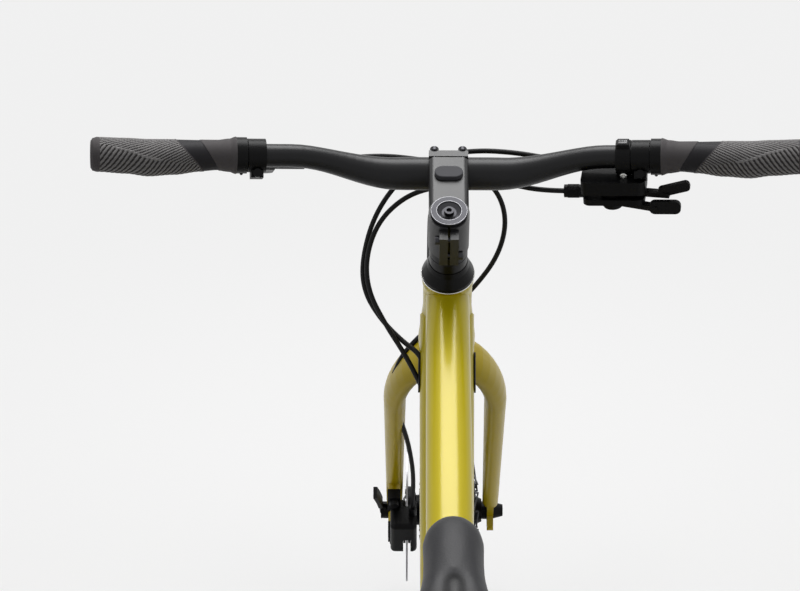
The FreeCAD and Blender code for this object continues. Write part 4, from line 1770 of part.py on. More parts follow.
GUIDE_Y = -CHAINLINE
SLANT = math.radians(LINK_SLANT)
LINK_MOVE = Vector(0, math.cos(SLANT), -math.sin(SLANT))
LINK_AXIS = Vector(0, math.sin(SLANT), math.cos(SLANT))
LINK_BASE = REAR + Vector(-LINK_BACK, -LINK_OUT, -LINK_DOWN)
LINK_FRAME = Placement(Matrix(1, LINK_MOVE.x, LINK_AXIS.x, LINK_BASE.x, 0, LINK_MOVE.y, LINK_AXIS.y,
                              LINK_BASE.y,
                              0, LINK_MOVE.z, LINK_AXIS.z, LINK_BASE.z, 0, 0, 0, 1))
HALF_SPACING = LINK_SPACING / 2
LINK_CLEAR = LINK_RADIUS + 1.5
ADJUSTER_BASE = LINK_FRAME.multVec(Vector(-LINK_CLEAR - 4.5, 0, 0))
ADJUSTER_LINE = Vector(-0.62, -0.12, -0.775).normalize()


def link_lugs(along, block_low, block_high):
    """Knuckle block with lugs above and below both links, and its two pins."""
    inner = LINK_HALF_THICKNESS + BODY_GAP
    outer = inner + 3.5
    shapes = [block(Vector(block_low, -HALF_SPACING - 5, -outer),
                    Vector(block_high, HALF_SPACING + 5, outer))]
    for low, high in ((inner, outer), (-outer, -inner)):
        shapes.append(block(Vector(min(block_low, along), -HALF_SPACING - 5, low),
                            Vector(max(block_high, along), HALF_SPACING + 5, high)))
        for side in (-HALF_SPACING, HALF_SPACING):
            shapes.append(rod(Vector(along, side, low), Vector(along, side, high), 5.0))
    for side in (-HALF_SPACING, HALF_SPACING):
        shapes.append(rod(Vector(along, side, -outer), Vector(along, side, outer), LINK_PIN_RADIUS))
    return placed(merged(shapes), LINK_FRAME)


def make_upper_knuckle():
    """Knuckle on the hanger bolt that carries both links."""
    high = -(REAR_FACE + DROPOUT_THICKNESS + HANGER_THICKNESS) - 0.02
    foot = REAR + Vector(-HANGER_BACK, 0, -HANGER_DOWN)
    barrel = across(foot, high - 10, high, 10.0)
    bolt = across(foot, high - 11, high + HANGER_THICKNESS - 0.5, 4.9)
    lugs = link_lugs(0, -LINK_CLEAR - 9, -LINK_CLEAR)
    arm = rod(Vector(foot.x, high - 6, foot.z),
              LINK_FRAME.multVec(Vector(-3, -5, LINK_HALF_THICKNESS + 5.5)), 5.0)
    arm = arm.cut(across(foot, high, high + HANGER_THICKNESS + 1, 11.0))
    adjuster = rod(ADJUSTER_BASE, ADJUSTER_BASE + ADJUSTER_LINE * (2 * HOSE_SEAT_DEPTH), FITTING_RADIUS)
    cable_seat = rod(ADJUSTER_BASE + ADJUSTER_LINE * HOSE_SEAT_DEPTH,
                     ADJUSTER_BASE + ADJUSTER_LINE * (2 * HOSE_SEAT_DEPTH + 1), HOSE_RADIUS + SEAT_GAP)
    return merged([barrel, bolt, lugs, arm, adjuster]).cut(cable_seat)


def make_link(side):
    """One of the two parallel links."""
    ends = (Vector(0, side, 0), Vector(LINK_LENGTH, side, 0))
    half = LINK_HALF_THICKNESS
    shapes = [rod(end - Z_AXIS * half, end + Z_AXIS * half, LINK_RADIUS) for end in ends]
    shapes.append(block(Vector(0, side - 3, -half), Vector(LINK_LENGTH, side + 3, half)))
    holes = [rod(end - Z_AXIS * 20, end + Z_AXIS * 20, LINK_PIN_RADIUS + RUNNING_GAP) for end in ends]
    return placed(merged(shapes).cut(holes), LINK_FRAME)


def make_lower_knuckle():
    """Knuckle at the links' moving end, with the cage pivot barrel."""
    lugs = link_lugs(LINK_LENGTH, LINK_LENGTH + LINK_CLEAR, LINK_LENGTH + LINK_CLEAR + 8)
    guide = REAR + Vector(GUIDE_FORWARD, 0, -GUIDE_DOWN)
    outer_plate = GUIDE_Y - CAGE_HALF_GAP - CAGE_PLATE
    barrel = across(guide, outer_plate - BODY_GAP - 18, outer_plate - BODY_GAP, 11.0)
    arm_start = LINK_FRAME.multVec(Vector(LINK_LENGTH + 1, 5, -LINK_HALF_THICKNESS - 6))
    arm = rod(arm_start, Vector(guide.x, outer_plate - BODY_GAP - 10, guide.z), 5.0)
    bore = across(guide, outer_plate - BODY_GAP - 14, outer_plate + 1, 5.0 + RUNNING_GAP)
    cage_room = across(guide, outer_plate - BODY_GAP, outer_plate + 30, 40)
    return largest(merged([lugs, barrel, arm]).cut([bore, cage_room]))


def make_cage(loop):
    """Cage plates, pulley bolts and the pivot stub."""
    guide, tension = loop.guide, loop.tension
    inner_low = GUIDE_Y + CAGE_HALF_GAP
    outer_high = GUIDE_Y - CAGE_HALF_GAP
    plates = [bone(guide, CAGE_RADIUS - 2, tension, CAGE_RADIUS, inner_low, inner_low + CAGE_PLATE),
              bone(guide, CAGE_RADIUS, tension, CAGE_RADIUS, outer_high - CAGE_PLATE, outer_high)]
    bolts = [across(place, outer_high - CAGE_PLATE, inner_low + CAGE_PLATE, PULLEY_BOLT_RADIUS)
             for place in (guide, tension)]
    collars = []
    for place in (guide, tension):
        gap = TOOTH_THICKNESS / 2 + BODY_GAP
        collars.append(across(place, outer_high, GUIDE_Y - gap, 5.0))
        collars.append(across(place, GUIDE_Y + gap, inner_low, 5.0))
    stub = across(guide, outer_high - CAGE_PLATE - 13, outer_high - CAGE_PLATE, 5.0)
    return merged(plates + bolts + collars + [stub])


def make_pulley(centre, phase):
    disc = toothed_disc(PULLEY_TEETH, phase, TOOTH_THICKNESS)
    disc.translate(centre + Y_AXIS * GUIDE_Y)
    return disc.cut(across(centre, GUIDE_Y - 5, GUIDE_Y + 5, PULLEY_BOLT_RADIUS + RUNNING_GAP))


# Seat

def make_seatpost():
    """Seatpost tube with its set-back head, the two clamp plates and their bolts."""
    top = BRACKET + SEAT_UP * (SADDLE_CLAMP_AT - 16)
    bottom = top - SEAT_UP * SEATPOST_LENGTH
    post = rod(bottom, top, SEATPOST_RADIUS).cut(rod(bottom - SEAT_UP, top - SEAT_UP * 12,
                                                     SEATPOST_RADIUS - 2.2))
    half = RAIL_HALF_SPACING + RAIL_RADIUS + 2
    head = block(CLAMP_POINT + Vector(-16, -13, -20), CLAMP_POINT + Vector(26, 13, -RAIL_RADIUS - 6))
    head = head.makeFillet(4, head.Edges)
    cradle = block(CLAMP_POINT + Vector(-17, -half, -RAIL_RADIUS - 6), CLAMP_POINT + Vector(17, half, 0.0))
    rails = [rod(CLAMP_POINT + Vector(-60, side, 0), CLAMP_POINT + Vector(60, side, 0),
                 RAIL_RADIUS + SEAT_GAP)
             for side in (RAIL_HALF_SPACING, -RAIL_HALF_SPACING)]
    lower = merged([post, head, cradle]).cut(rails)
    upper = block(CLAMP_POINT + Vector(-17, -half, 0.6), CLAMP_POINT + Vector(17, half, RAIL_RADIUS + 5))
    bolts = []
    rooms = []
    for ahead in (-12, 12):
        place = CLAMP_POINT + X_AXIS * ahead
        low, high = place - Z_AXIS * 14, place + Z_AXIS * (RAIL_RADIUS + 5)
        bolts.append(merged([rod(low, high, STEM_BOLT_RADIUS), rod(high, high + Z_AXIS * 4, STEM_BOLT_HEAD)]))
        rooms.append(rod(low - Z_AXIS * 0.5, high, STEM_BOLT_RADIUS + SEAT_GAP))
    return [largest(lower.cut(rooms)), largest(upper.cut(rails + rooms))] + bolts


def saddle_half_width(share):
    """Half width of the saddle from its nose (0) to its tail (1)."""
    nose = SADDLE_NOSE_HALF_WIDTH * math.sqrt(min(1.0, share / 0.11) * (2 - min(1.0, share / 0.11)))
    flare = (SADDLE_HALF_WIDTH - SADDLE_NOSE_HALF_WIDTH) * smooth(share, 0.22, 0.86)
    tail = math.sqrt(max(0.0, 1 - (max(0.0, share - 0.86) / 0.16) ** 2))
    return (nose + flare) * tail


def saddle_crown(share):
    """Height of the saddle's top above its base line."""
    return SADDLE_THICKNESS + 5 * (share - 0.45) ** 2 * 4 - 6 * (1 - smooth(share, 0.0, 0.08))


def saddle_outline(share, base, drawn):
    """Cross section of the pad: flat base, drawn-in sides and a crowned top."""
    half = saddle_half_width(share)
    crown = saddle_crown(share)
    x = NOSE_X - SADDLE_LENGTH * share
    foot = half * drawn
    belly = base + 0.45 * crown
    edge = base + 0.78 * crown

    def at(side, height):
        return Vector(x, side, height)

    points = [at(-foot, base), at(-half, belly), at(-0.82 * half, edge), at(0, base + crown),
              at(0.82 * half, edge), at(half, belly), at(foot, base)]
    edges = [Part.Arc(points[0], points[1], points[2]).toShape(),
             Part.Arc(points[2], points[3], points[4]).toShape(),
             Part.Arc(points[4], points[5], points[6]).toShape(), Part.LineSegment(points[6],
                                                                                   points[0]).toShape()]
    return Part.Wire(edges)


SADDLE_SHARES = [0.012 + 0.978 * (0.5 - 0.5 * math.cos(math.pi * step / 24)) for step in range(25)]


def make_saddle_pad():
    """Padded saddle top with its long relief channel."""
    pad = lofted([saddle_outline(share, SADDLE_BASE, 0.8) for share in SADDLE_SHARES])
    level = SADDLE_BASE + SADDLE_THICKNESS + CHANNEL_RADIUS - CHANNEL_DEPTH
    start = Vector(NOSE_X - CHANNEL_START * SADDLE_LENGTH, 0, level)
    end = Vector(NOSE_X - CHANNEL_END * SADDLE_LENGTH, 0, level)
    channel = merged([rod(start, end, CHANNEL_RADIUS), Part.makeSphere(CHANNEL_RADIUS, start),
                      Part.makeSphere(CHANNEL_RADIUS, end)])
    return largest(pad.cut(channel))


def make_saddle_shell():
    """Moulded base under the pad, with sockets for the rail ends."""
    top = SADDLE_BASE - BODY_GAP
    wires = []
    for share in SADDLE_SHARES[4:-1]:
        half = saddle_half_width(share) * 0.86
        x = NOSE_X - SADDLE_LENGTH * share
        corners = [Vector(x, -half, top), Vector(x, half, top),
                   Vector(x, 0.9 * half, top - SADDLE_SHELL_THICKNESS),
                   Vector(x, -0.9 * half, top - SADDLE_SHELL_THICKNESS)]
        wires.append(Part.makePolygon(corners + corners[:1]))
    return outward(Part.makeLoft(wires, True, True))


def make_rails():
    """Two saddle rails from the nose to the tail."""
    level = CLAMP_POINT.z
    under = SADDLE_BASE - BODY_GAP - SADDLE_SHELL_THICKNESS - RAIL_RADIUS - 0.1
    x = CLAMP_POINT.x
    points = [Vector(x + 108, 7, under), Vector(x + 84, 9.5, under), Vector(x + 56, 18, level),
              Vector(x + 34, RAIL_HALF_SPACING, level), Vector(x - 40, RAIL_HALF_SPACING + 0.01, level),
              Vector(x - 66, 30, under - 4), Vector(x - 92, 38, under)]
    rail, _, _ = tube_along(points, RAIL_RADIUS)
    return [rail, mirrored(rail)]


# Hose routes, chosen by hand in bike coordinates between their computed ends

def listed(points):
    return [Vector(*point) for point in points]


def other_side(point):
    """A point reflected in the bike's middle plane."""
    return Vector(point.x, -point.y, point.z)


LEVER_PORT = BRAKE_FRAME.multVec(Vector(MASTER_FORWARD, LEVER_PORT_ALONG, MASTER_RISE))
LEVER_LEAD = LEVER_PORT - BAR_OUT * HOSE_LEAD
SHIFTER_PORT = other_side(CONTROL.multVec(ADJUSTER_PORT))
SHIFTER_LEAD = other_side(CONTROL.multVec(ADJUSTER_PORT - Y_AXIS * HOSE_LEAD))
FRONT_HOSE = [LEVER_PORT, LEVER_LEAD] + listed((
    (402, 66, 876), (406, 30, 870), (406, -14, 861), (404, -46, 842), (400, -59, 808), (396, -52, 768),
    (394, -28, 730), (393, 0, 700), (391, 26, 675), (389, 44, 653), (393, 52.5, 627), (403, 53, 598),
    (414, 50, 566), (423, 43, 538), (430, 37.5, 510), (437, 33.5, 478), (441, 32.5, 455))) + [
    FRONT_BRAKE.multVec(FRONT_FITTING + Z_AXIS * HOSE_LEAD), FRONT_BRAKE.multVec(FRONT_FITTING)]
REAR_HOSE = [other_side(LEVER_PORT), other_side(LEVER_LEAD)] + listed((
    (405, -66, 878), (415, -26, 875), (417, 14, 866), (411, 52, 842), (400, 77, 806), (384, 87, 769),
    (366, 80, 748), (348, 61, 730), (330, 40, 716), (310, 24, 704), (284, 17, 682), (-24, 14, 364),
    (-50, 14, 310), (-66, 15, 264), (-84, 16, 246), (-108, 18, 243), (-132, 22, 247),
    (-170, 36, 262), (-215, 44, 284), (-265, 50, 301), (-317, 59, 313))) + [
    stay_point(178, 66, 8), stay_point(150, 57, 24),
    REAR_BRAKE.multVec(REAR_FITTING + Z_AXIS * HOSE_LEAD), REAR_BRAKE.multVec(REAR_FITTING)]
SHIFT_HOUSING = [SHIFTER_PORT, SHIFTER_LEAD] + listed((
    (381, -58, 849), (388, -24, 842), (393, 12, 836), (394, 40, 825), (388, 62, 806), (374, 74, 776),
    (355, 74, 748), (334, 60, 724), (314, 41, 703), (293, 25, 680), (266, 4, 644), (-20, -14, 352),
    (-48, -14, 308), (-66, -15, 264), (-84, -16, 246), (-108, -18, 243), (-132, -22, 247),
    (-175, -30, 262), (-204, -31, 274.5), (-260, -38.5, 285), (-317, -47, 295), (-365, -55, 304), (-412, -63, 313), (-445, -70, 316),
    (-485, -85, 322), (-540, -101, 330), (-600, -106, 327), (-645, -104, 312), (-664, -101, 280),
    (-656, -96, 249), (-628, -90, 236))) + [
    ADJUSTER_BASE + ADJUSTER_LINE * (HOSE_SEAT_DEPTH + 40), ADJUSTER_BASE + ADJUSTER_LINE * HOSE_SEAT_DEPTH]


# Assembly

def main():
    os.makedirs("parts", exist_ok=True)
    loop, links = solve_chain()

    hoses = {}
    for name, points in (("front_brake_hose", FRONT_HOSE), ("rear_brake_hose", REAR_HOSE),
                         ("shift_housing", SHIFT_HOUSING)):
        solid, length, tightest = tube_along(points, HOSE_RADIUS)
        drift = solid.Volume / (math.pi * HOSE_RADIUS**2 * length)
        print(f"{name} length {length:.0f} tightest {tightest:.1f} volume share {drift:.4f}")
        hoses[name] = solid
    room = {name: tube_along(points, HOSE_RADIUS + HOSE_ROOM)[0] for name, points in (
        ("front", FRONT_HOSE), ("rear", REAR_HOSE), ("shift", SHIFT_HOUSING))}
    frame_room = [room["rear"], room["shift"]]

    front_side = FRONT_HUB_WIDTH / 2 + FORK_TIP_THICKNESS / 2
    blade_back = blade_x(FRONT_CALIPER_ALONG) - FORK_RAKE - 4
    front_caliper, front_pads, front_posts, front_holes = caliper_parts(
        FRONT_CALIPER_BACK, FRONT_CALIPER_ALONG, FRONT_ROTOR_PLANE, 11.0, 18.0, front_side,
        FRONT_POST_RADIUS, blade_back, FRONT_FITTING)
    shift_to_axle = Placement(Vector(FORK_RAKE, 0, 0), Rotation())
    fork_posts = [placed(post, shift_to_axle) for post in front_posts]
    fork_holes = [placed(hole, shift_to_axle) for hole in front_holes]
    rear_caliper, rear_pads, rear_posts, rear_holes = caliper_parts(
        REAR_CALIPER_UP, REAR_CALIPER_ALONG, REAR_ROTOR_PLANE, 14.0, 9.5, REAR_POST_SIDE,
        REAR_POST_RADIUS, -2.0, REAR_FITTING)
    stay_posts = [placed(post, REAR_BRAKE) for post in rear_posts]
    stay_holes = [placed(hole, REAR_BRAKE) for hole in rear_holes]

    save("head_tube", make_head_tube())
    save("top_tube", make_top_tube())
    save("down_tube", make_down_tube(frame_room))
    save("seat_tube", make_seat_tube(), make_bracket_shell())
    save("rear_stays", *make_stays(stay_holes))
    save("rear_dropouts", *make_dropouts(stay_posts, stay_holes))
    save("seat_collar", *make_seat_collar())
    save("cable_ports", *make_cable_ports(frame_room))
    save("frame_bearings", *make_bearings())
    save("rear_caliper", *[placed(solid, REAR_BRAKE) for solid in rear_caliper + rear_pads])
    save("rear_brake_hose", hoses["rear_brake_hose"])
    save("shift_housing", hoses["shift_housing"])

    save("fork", *make_fork(fork_posts, fork_holes, [room["front"]]))
    save("headset_spacers", *make_spacers())
    save("stem", make_stem())
    save("stem_faceplate", make_faceplate())
    save("stem_hardware", *(make_stem_bolts() + make_stem_caps()))
    save("stem_plug", make_stem_plug())
    save("handlebar", make_handlebar())
    grip = make_grip()
    save("grips", grip, mirrored(grip))
    collar = make_collar()
    save("grip_collars", *(collar + [mirrored(piece) for piece in collar]))
    brake_body = make_brake_body()
    save("brake_lever_bodies", *(brake_body + [mirrored(piece) for piece in brake_body]))
    lever = make_brake_lever()
    save("left_brake_lever", lever)
    save("right_brake_lever", mirrored(lever))
    save("shifter_body", make_shifter_body())
    save("thumb_paddle", make_thumb_paddle())
    save("release_paddle", make_release_paddle())
    save("front_caliper", *[placed(solid, FRONT_BRAKE) for solid in front_caliper + front_pads])
    save("front_brake_hose", hoses["front_brake_hose"])

    front_half = FRONT_HUB_WIDTH / 2
    rear_half = REAR_HUB_WIDTH / 2
    front_left, front_right = front_half - 6, front_half - 6
    rear_left, rear_right = rear_half - 11, -FREEHUB_INNER - BODY_GAP
    front_at = Placement(FRONT, Rotation())
    rear_at = Placement(REAR, Rotation())
    tyre, rim = make_tyre(), make_rim()
    for name, at, left, right, plane, left_end, right_end in (
            ("front", front_at, FRONT_FLANGE_LEFT, FRONT_FLANGE_RIGHT, FRONT_ROTOR_PLANE, front_left,
             front_right),
            ("rear", rear_at, REAR_FLANGE_LEFT, REAR_FLANGE_RIGHT, REAR_ROTOR_PLANE, rear_left, rear_right)):
        save(f"{name}_tyre", *[placed(solid, at) for solid in tyre])
        save(f"{name}_rim", placed(rim, at))
        save(f"{name}_spokes", *[placed(solid, at) for solid in make_spokes(left, right)])
        save(f"{name}_hub", placed(make_hub(left, right, plane, left_end, right_end), at))
        save(f"{name}_rotor", *[placed(solid, at) for solid in make_rotor(plane)])
    front_axle = make_axle(front_half, FORK_TIP_THICKNESS, front_left, front_right, 0.0, FRONT_QR_ANGLE)
    save("front_axle", *[placed(solid, front_at) for solid in front_axle])
    rear_axle = make_axle(rear_half, DROPOUT_THICKNESS, rear_left, -FREEHUB_OUTER, HANGER_THICKNESS,
                          REAR_QR_ANGLE)
    save("rear_axle", *[placed(solid, rear_at) for solid in rear_axle])
    save("front_qr_lever", placed(make_qr_lever(front_half, FORK_TIP_THICKNESS, FRONT_QR_ANGLE), front_at))
    save("rear_qr_lever", placed(make_qr_lever(rear_half, DROPOUT_THICKNESS, REAR_QR_ANGLE), rear_at))

    save("chainring", *make_chainring(loop.phases[0]))
    save("crank_arms", *make_cranks())
    save("left_pedal", make_pedal(1))
    save("right_pedal", make_pedal(-1))
    save("cassette", *make_cassette(loop.phases[3]))
    save("chain", *make_chain(loop, links))
    save("derailleur_upper_knuckle", make_upper_knuckle())
    save("derailleur_outer_link", make_link(-HALF_SPACING))
    save("derailleur_inner_link", make_link(HALF_SPACING))
    save("derailleur_lower_knuckle", make_lower_knuckle())
    save("derailleur_cage", make_cage(loop))
    save("guide_pulley", make_pulley(loop.guide, loop.phases[2]))
    save("tension_pulley", make_pulley(loop.tension, loop.phases[1]))

    save("seatpost", *make_seatpost())
    save("saddle_rails", *make_rails())
    save("saddle_shell", make_saddle_shell())
    save("saddle_pad", make_saddle_pad())


main()
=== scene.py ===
import math

import bpy
from mathutils import Matrix, Vector


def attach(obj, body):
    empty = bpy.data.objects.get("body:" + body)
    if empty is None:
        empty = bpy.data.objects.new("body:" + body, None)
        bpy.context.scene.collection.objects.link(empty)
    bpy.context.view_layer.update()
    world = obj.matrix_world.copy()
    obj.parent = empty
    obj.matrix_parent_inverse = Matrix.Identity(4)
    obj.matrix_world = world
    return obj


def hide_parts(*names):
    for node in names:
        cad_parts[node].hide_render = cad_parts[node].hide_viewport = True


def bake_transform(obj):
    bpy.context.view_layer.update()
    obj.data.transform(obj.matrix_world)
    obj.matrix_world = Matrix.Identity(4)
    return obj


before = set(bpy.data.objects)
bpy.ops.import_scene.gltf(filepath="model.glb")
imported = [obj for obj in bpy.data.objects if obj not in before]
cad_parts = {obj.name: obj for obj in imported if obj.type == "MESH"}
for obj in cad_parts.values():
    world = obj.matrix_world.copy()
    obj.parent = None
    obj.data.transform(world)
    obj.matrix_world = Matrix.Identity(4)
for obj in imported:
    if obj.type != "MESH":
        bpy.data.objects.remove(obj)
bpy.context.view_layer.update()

MM = 0.001

# Places and directions that several pieces share, in the part's frame, in millimetres

REAR_AXLE = Vector((-534.0, 0.0, 346.0))
FRONT_AXLE = Vector((534.0, 0.0, 346.0))
STEER_FOOT = Vector((484.983, 0.0, 328.642))
STEER_UP = Vector((-0.333807, 0.0, 0.942641))
STEER_AHEAD = Vector((0.942641, 0.0, 0.333807))
BAR_END = Vector((336.101, 334.0, 912.792))
BAR_FORWARD = Vector((0.989098, 0.146699, 0.012834))
BAR_OUT = Vector((-0.147259, 0.985334, 0.086206))
BAR_UP = Vector((0.0, -0.087156, 0.996195))

# Routes of the hoses, in metres, from the bar to their far ends. A bend lists the places where a
# hose stops following the steering and where it begins to stay with the frame; the script reads
# only whether a hose has one.

HOSE_DIAMETER = 0.005
FRONT_HOSE = (
    (0.3918, 0.1312, 0.8781), (0.3962, 0.1017, 0.8755), (0.4020, 0.0660, 0.8760),
    (0.4060, 0.0300, 0.8700), (0.4060, -0.0140, 0.8610), (0.4040, -0.0460, 0.8420),
    (0.4000, -0.0590, 0.8080), (0.3960, -0.0520, 0.7680), (0.3940, -0.0280, 0.7300),
    (0.3930, 0.0000, 0.7000), (0.3910, 0.0260, 0.6750), (0.3890, 0.0440, 0.6530),
    (0.3930, 0.0525, 0.6270), (0.4030, 0.0530, 0.5980), (0.4140, 0.0500, 0.5660),
    (0.4230, 0.0430, 0.5380), (0.4300, 0.0375, 0.5100), (0.4370, 0.0335, 0.4780),
    (0.4410, 0.0325, 0.4550), (0.4519, 0.0330, 0.4278), (0.4619, 0.0330, 0.3995))
REAR_HOSE_BEND = ((0.405, 0.065, 0.824), (0.335, 0.045, 0.72))
REAR_HOSE = (
    (0.3918, -0.1312, 0.8781), (0.3962, -0.1017, 0.8755), (0.4050, -0.0660, 0.8780),
    (0.4150, -0.0260, 0.8750), (0.4170, 0.0140, 0.8660), (0.4130, 0.0450, 0.8460),
    (0.4010, 0.0715, 0.8110), (0.3840, 0.0840, 0.7690), (0.3640, 0.0820, 0.7440),
    (0.3440, 0.0650, 0.7240), (0.3260, 0.0440, 0.7105), (0.3100, 0.0240, 0.7040),
    (0.2840, 0.0170, 0.6820), (-0.0240, 0.0140, 0.3640), (-0.0500, 0.0140, 0.3100),
    (-0.0660, 0.0150, 0.2640), (-0.0840, 0.0160, 0.2460), (-0.1080, 0.0180, 0.2430),
    (-0.1320, 0.0220, 0.2470), (-0.1700, 0.0360, 0.2620), (-0.2150, 0.0440, 0.2840),
    (-0.2650, 0.0500, 0.3010), (-0.3170, 0.0590, 0.3130), (-0.3570, 0.0660, 0.3256),
    (-0.3821, 0.0570, 0.3458), (-0.4119, 0.0435, 0.3598), (-0.4416, 0.0435, 0.3645))
SHIFT_HOUSING_BEND = ((0.392, 0.055, 0.815), (0.319, 0.045, 0.708))
SHIFT_HOUSING = (
    (0.3706, -0.1200, 0.8551), (0.3750, -0.0904, 0.8525), (0.3830, -0.0580, 0.8560),
    (0.3910, -0.0240, 0.8510), (0.3960, 0.0120, 0.8450), (0.3970, 0.0420, 0.8330),
    (0.3910, 0.0680, 0.8080), (0.3760, 0.0800, 0.7760), (0.3560, 0.0775, 0.7490),
    (0.3340, 0.0600, 0.7240), (0.3140, 0.0410, 0.7030), (0.2930, 0.0250, 0.6800),
    (0.2660, 0.0040, 0.6440), (-0.0200, -0.0140, 0.3520), (-0.0480, -0.0140, 0.3080),
    (-0.0660, -0.0150, 0.2640), (-0.0840, -0.0160, 0.2460), (-0.1080, -0.0180, 0.2430),
    (-0.1320, -0.0220, 0.2470), (-0.1750, -0.0300, 0.2620), (-0.2040, -0.0310, 0.2745),
    (-0.2600, -0.0385, 0.2850), (-0.3170, -0.0470, 0.2950), (-0.3650, -0.0550, 0.3040),
    (-0.4120, -0.0630, 0.3130), (-0.4450, -0.0700, 0.3160), (-0.4850, -0.0850, 0.3220),
    (-0.5400, -0.1010, 0.3300), (-0.6000, -0.1060, 0.3270), (-0.6450, -0.1040, 0.3120),
    (-0.6640, -0.1010, 0.2800), (-0.6560, -0.0960, 0.2490), (-0.6280, -0.0900, 0.2360),
    (-0.5988, -0.0858, 0.2528), (-0.5740, -0.0810, 0.2838))


# Finishes

class Flow:
    """A value inside a node tree. Arithmetic on it adds the maths nodes that it needs."""

    def __init__(self, nodes, socket):
        self.nodes = nodes
        self.socket = socket

    def maths(self, operation, first, second):
        return self.nodes.node("ShaderNodeMath", {"operation": operation}, {0: first, 1: second})

    def __add__(self, other):
        return self.maths("ADD", self, other)

    def __radd__(self, other):
        return self.maths("ADD", other, self)

    def __sub__(self, other):
        return self.maths("SUBTRACT", self, other)

    def __rsub__(self, other):
        return self.maths("SUBTRACT", other, self)

    def __mul__(self, other):
        return self.maths("MULTIPLY", self, other)

    def __rmul__(self, other):
        return self.maths("MULTIPLY", other, self)

    def __pow__(self, other):
        return self.maths("POWER", self, other)

    def at_least(self, other):
        return self.maths("MAXIMUM", self, other)

    def between(self, low, high):
        """Zero below low, one above high and smooth between them."""
        return self.nodes.node("ShaderNodeMapRange", {"interpolation_type": "SMOOTHSTEP"},
                               {"Value": self, "From Min": low, "From Max": high})


class Nodes:
    """The node tree of a finish or of the world."""

    def __init__(self, tree):
        self.tree = tree

    def node(self, kind, settings, inputs, output=0):
        """Adds a node, sets it, fills or links its sockets and gives one of its outputs."""
        made = self.tree.nodes.new(kind)
        for key, value in settings.items():
            setattr(made, key, value)
        for key, value in inputs.items():
            if isinstance(value, Flow):
                self.tree.links.new(value.socket, made.inputs[key])
            else:
                made.inputs[key].default_value = value
        return Flow(self, made.outputs[output])

    def seen(self):
        """One for rays that show a surface: from the camera, off a gloss or through glass."""
        share = self.node("ShaderNodeLightPath", {}, {}, "Is Camera Ray")
        for kind in ("Is Glossy Ray", "Is Transmission Ray"):
            share = share.at_least(self.node("ShaderNodeLightPath", {}, {}, kind))
        return share


class Finish(Nodes):
    """One procedural finish: its shader, its nodes and the steady values set on the shader."""

    def __init__(self, name, **steady):
        self.material = bpy.data.materials.new(name)
        self.material.use_nodes = True
        super().__init__(self.material.node_tree)
        self.shader = self.tree.nodes["Principled BSDF"]
        for key, value in steady.items():
            socket = key.replace("_", " ").title().replace("Ior", "IOR")
            self.shader.inputs[socket].default_value = value
        self.place = self.node("ShaderNodeTexCoord", {}, {}, "Object")

    def feed(self, socket, flow):
        self.tree.links.new(flow.socket, self.shader.inputs[socket])

    def axis(self, letter):
        return self.node("ShaderNodeSeparateXYZ", {}, {0: self.place}, letter)

    def noise(self, scale, detail, place=None):
        return self.node("ShaderNodeTexNoise", {},
                         {"Vector": place or self.place, "Scale": scale, "Detail": detail})

    def cells(self, scale):
        return self.node("ShaderNodeTexVoronoi", {},
                         {"Vector": self.place, "Scale": scale}, "Distance")

    def stretched(self, along, across, up):
        """The piece's own coordinates, scaled differently along its three directions."""
        return self.node("ShaderNodeMapping", {},
                         {"Vector": self.place, "Scale": (along, across, up)})

    def blend(self, share, first, second):
        """A colour between two others."""
        return self.node("ShaderNodeMix", {"data_type": "RGBA"},
                         {0: share, 6: first, 7: second}, 2)

    def relief(self, height, depth, strength):
        self.feed("Normal", self.node("ShaderNodeBump", {}, {
            "Strength": strength, "Distance": depth, "Height": height}))


def linear(red, green, blue):
    """A colour given in screen values from 0 to 255."""
    def straight(value):
        share = value / 255
        return share / 12.92 if share <= 0.04045 else ((share + 0.055) / 1.055) ** 2.4
    return (straight(red), straight(green), straight(blue), 1.0)


BARE_STEERER = 0.386
PAINT_EDGE = 0.0005


def mustard_paint(name, deep, bright, coat, bare_above=None):
    """Gloss paint with a fine flake and a little orange peel. It may end at a level on the steerer,
    in metres above the foot of the steering axis."""
    finish = Finish(name, metallic=0.1, specular_ior_level=0.1, coat_weight=coat,
                    coat_roughness=0.18)
    flake = finish.noise(scale=5200.0, detail=1.0)
    tone = finish.noise(scale=9.0, detail=2.0)
    colour = finish.blend(flake.between(0.35, 0.7) * 0.25 + tone * 0.25, deep, bright)
    if bare_above:
        height = finish.node("ShaderNodeVectorMath", {"operation": "DOT_PRODUCT"},
                             {0: finish.place, 1: tuple(STEER_UP)}, "Value")
        level = height - STEER_UP.dot(STEER_FOOT) * MM
        bare = level.between(bare_above - PAINT_EDGE, bare_above + PAINT_EDGE)
        colour = finish.blend(bare, colour, linear(24, 24, 25))
    finish.feed("Base Color", colour)
    finish.feed("Roughness", 0.36 + 0.08 * flake)
    finish.relief(finish.noise(scale=420.0, detail=2.0), depth=0.00004, strength=0.25)
    return finish.material


def satin_black(name, dark, light, roughness, gleam):
    """Blasted and anodised alloy: fine grain, faint cloudiness and handling marks."""
    finish = Finish(name, metallic=0.2, specular_ior_level=gleam)
    pits = finish.noise(scale=2600.0, detail=2.0)
    cloud = finish.noise(scale=16.0, detail=4.0)
    handled = finish.stretched(along=1.0, across=6.0, up=1.0)
    marks = finish.noise(scale=120.0, detail=5.0, place=handled).between(0.62, 0.75)
    finish.feed("Base Color", finish.blend(cloud * 0.6 + pits * 0.3, dark, light))
    finish.feed("Roughness", roughness + 0.08 * cloud + 0.06 * pits - 0.05 * marks)
    finish.relief(pits, depth=0.00005, strength=0.5)
    return finish.material


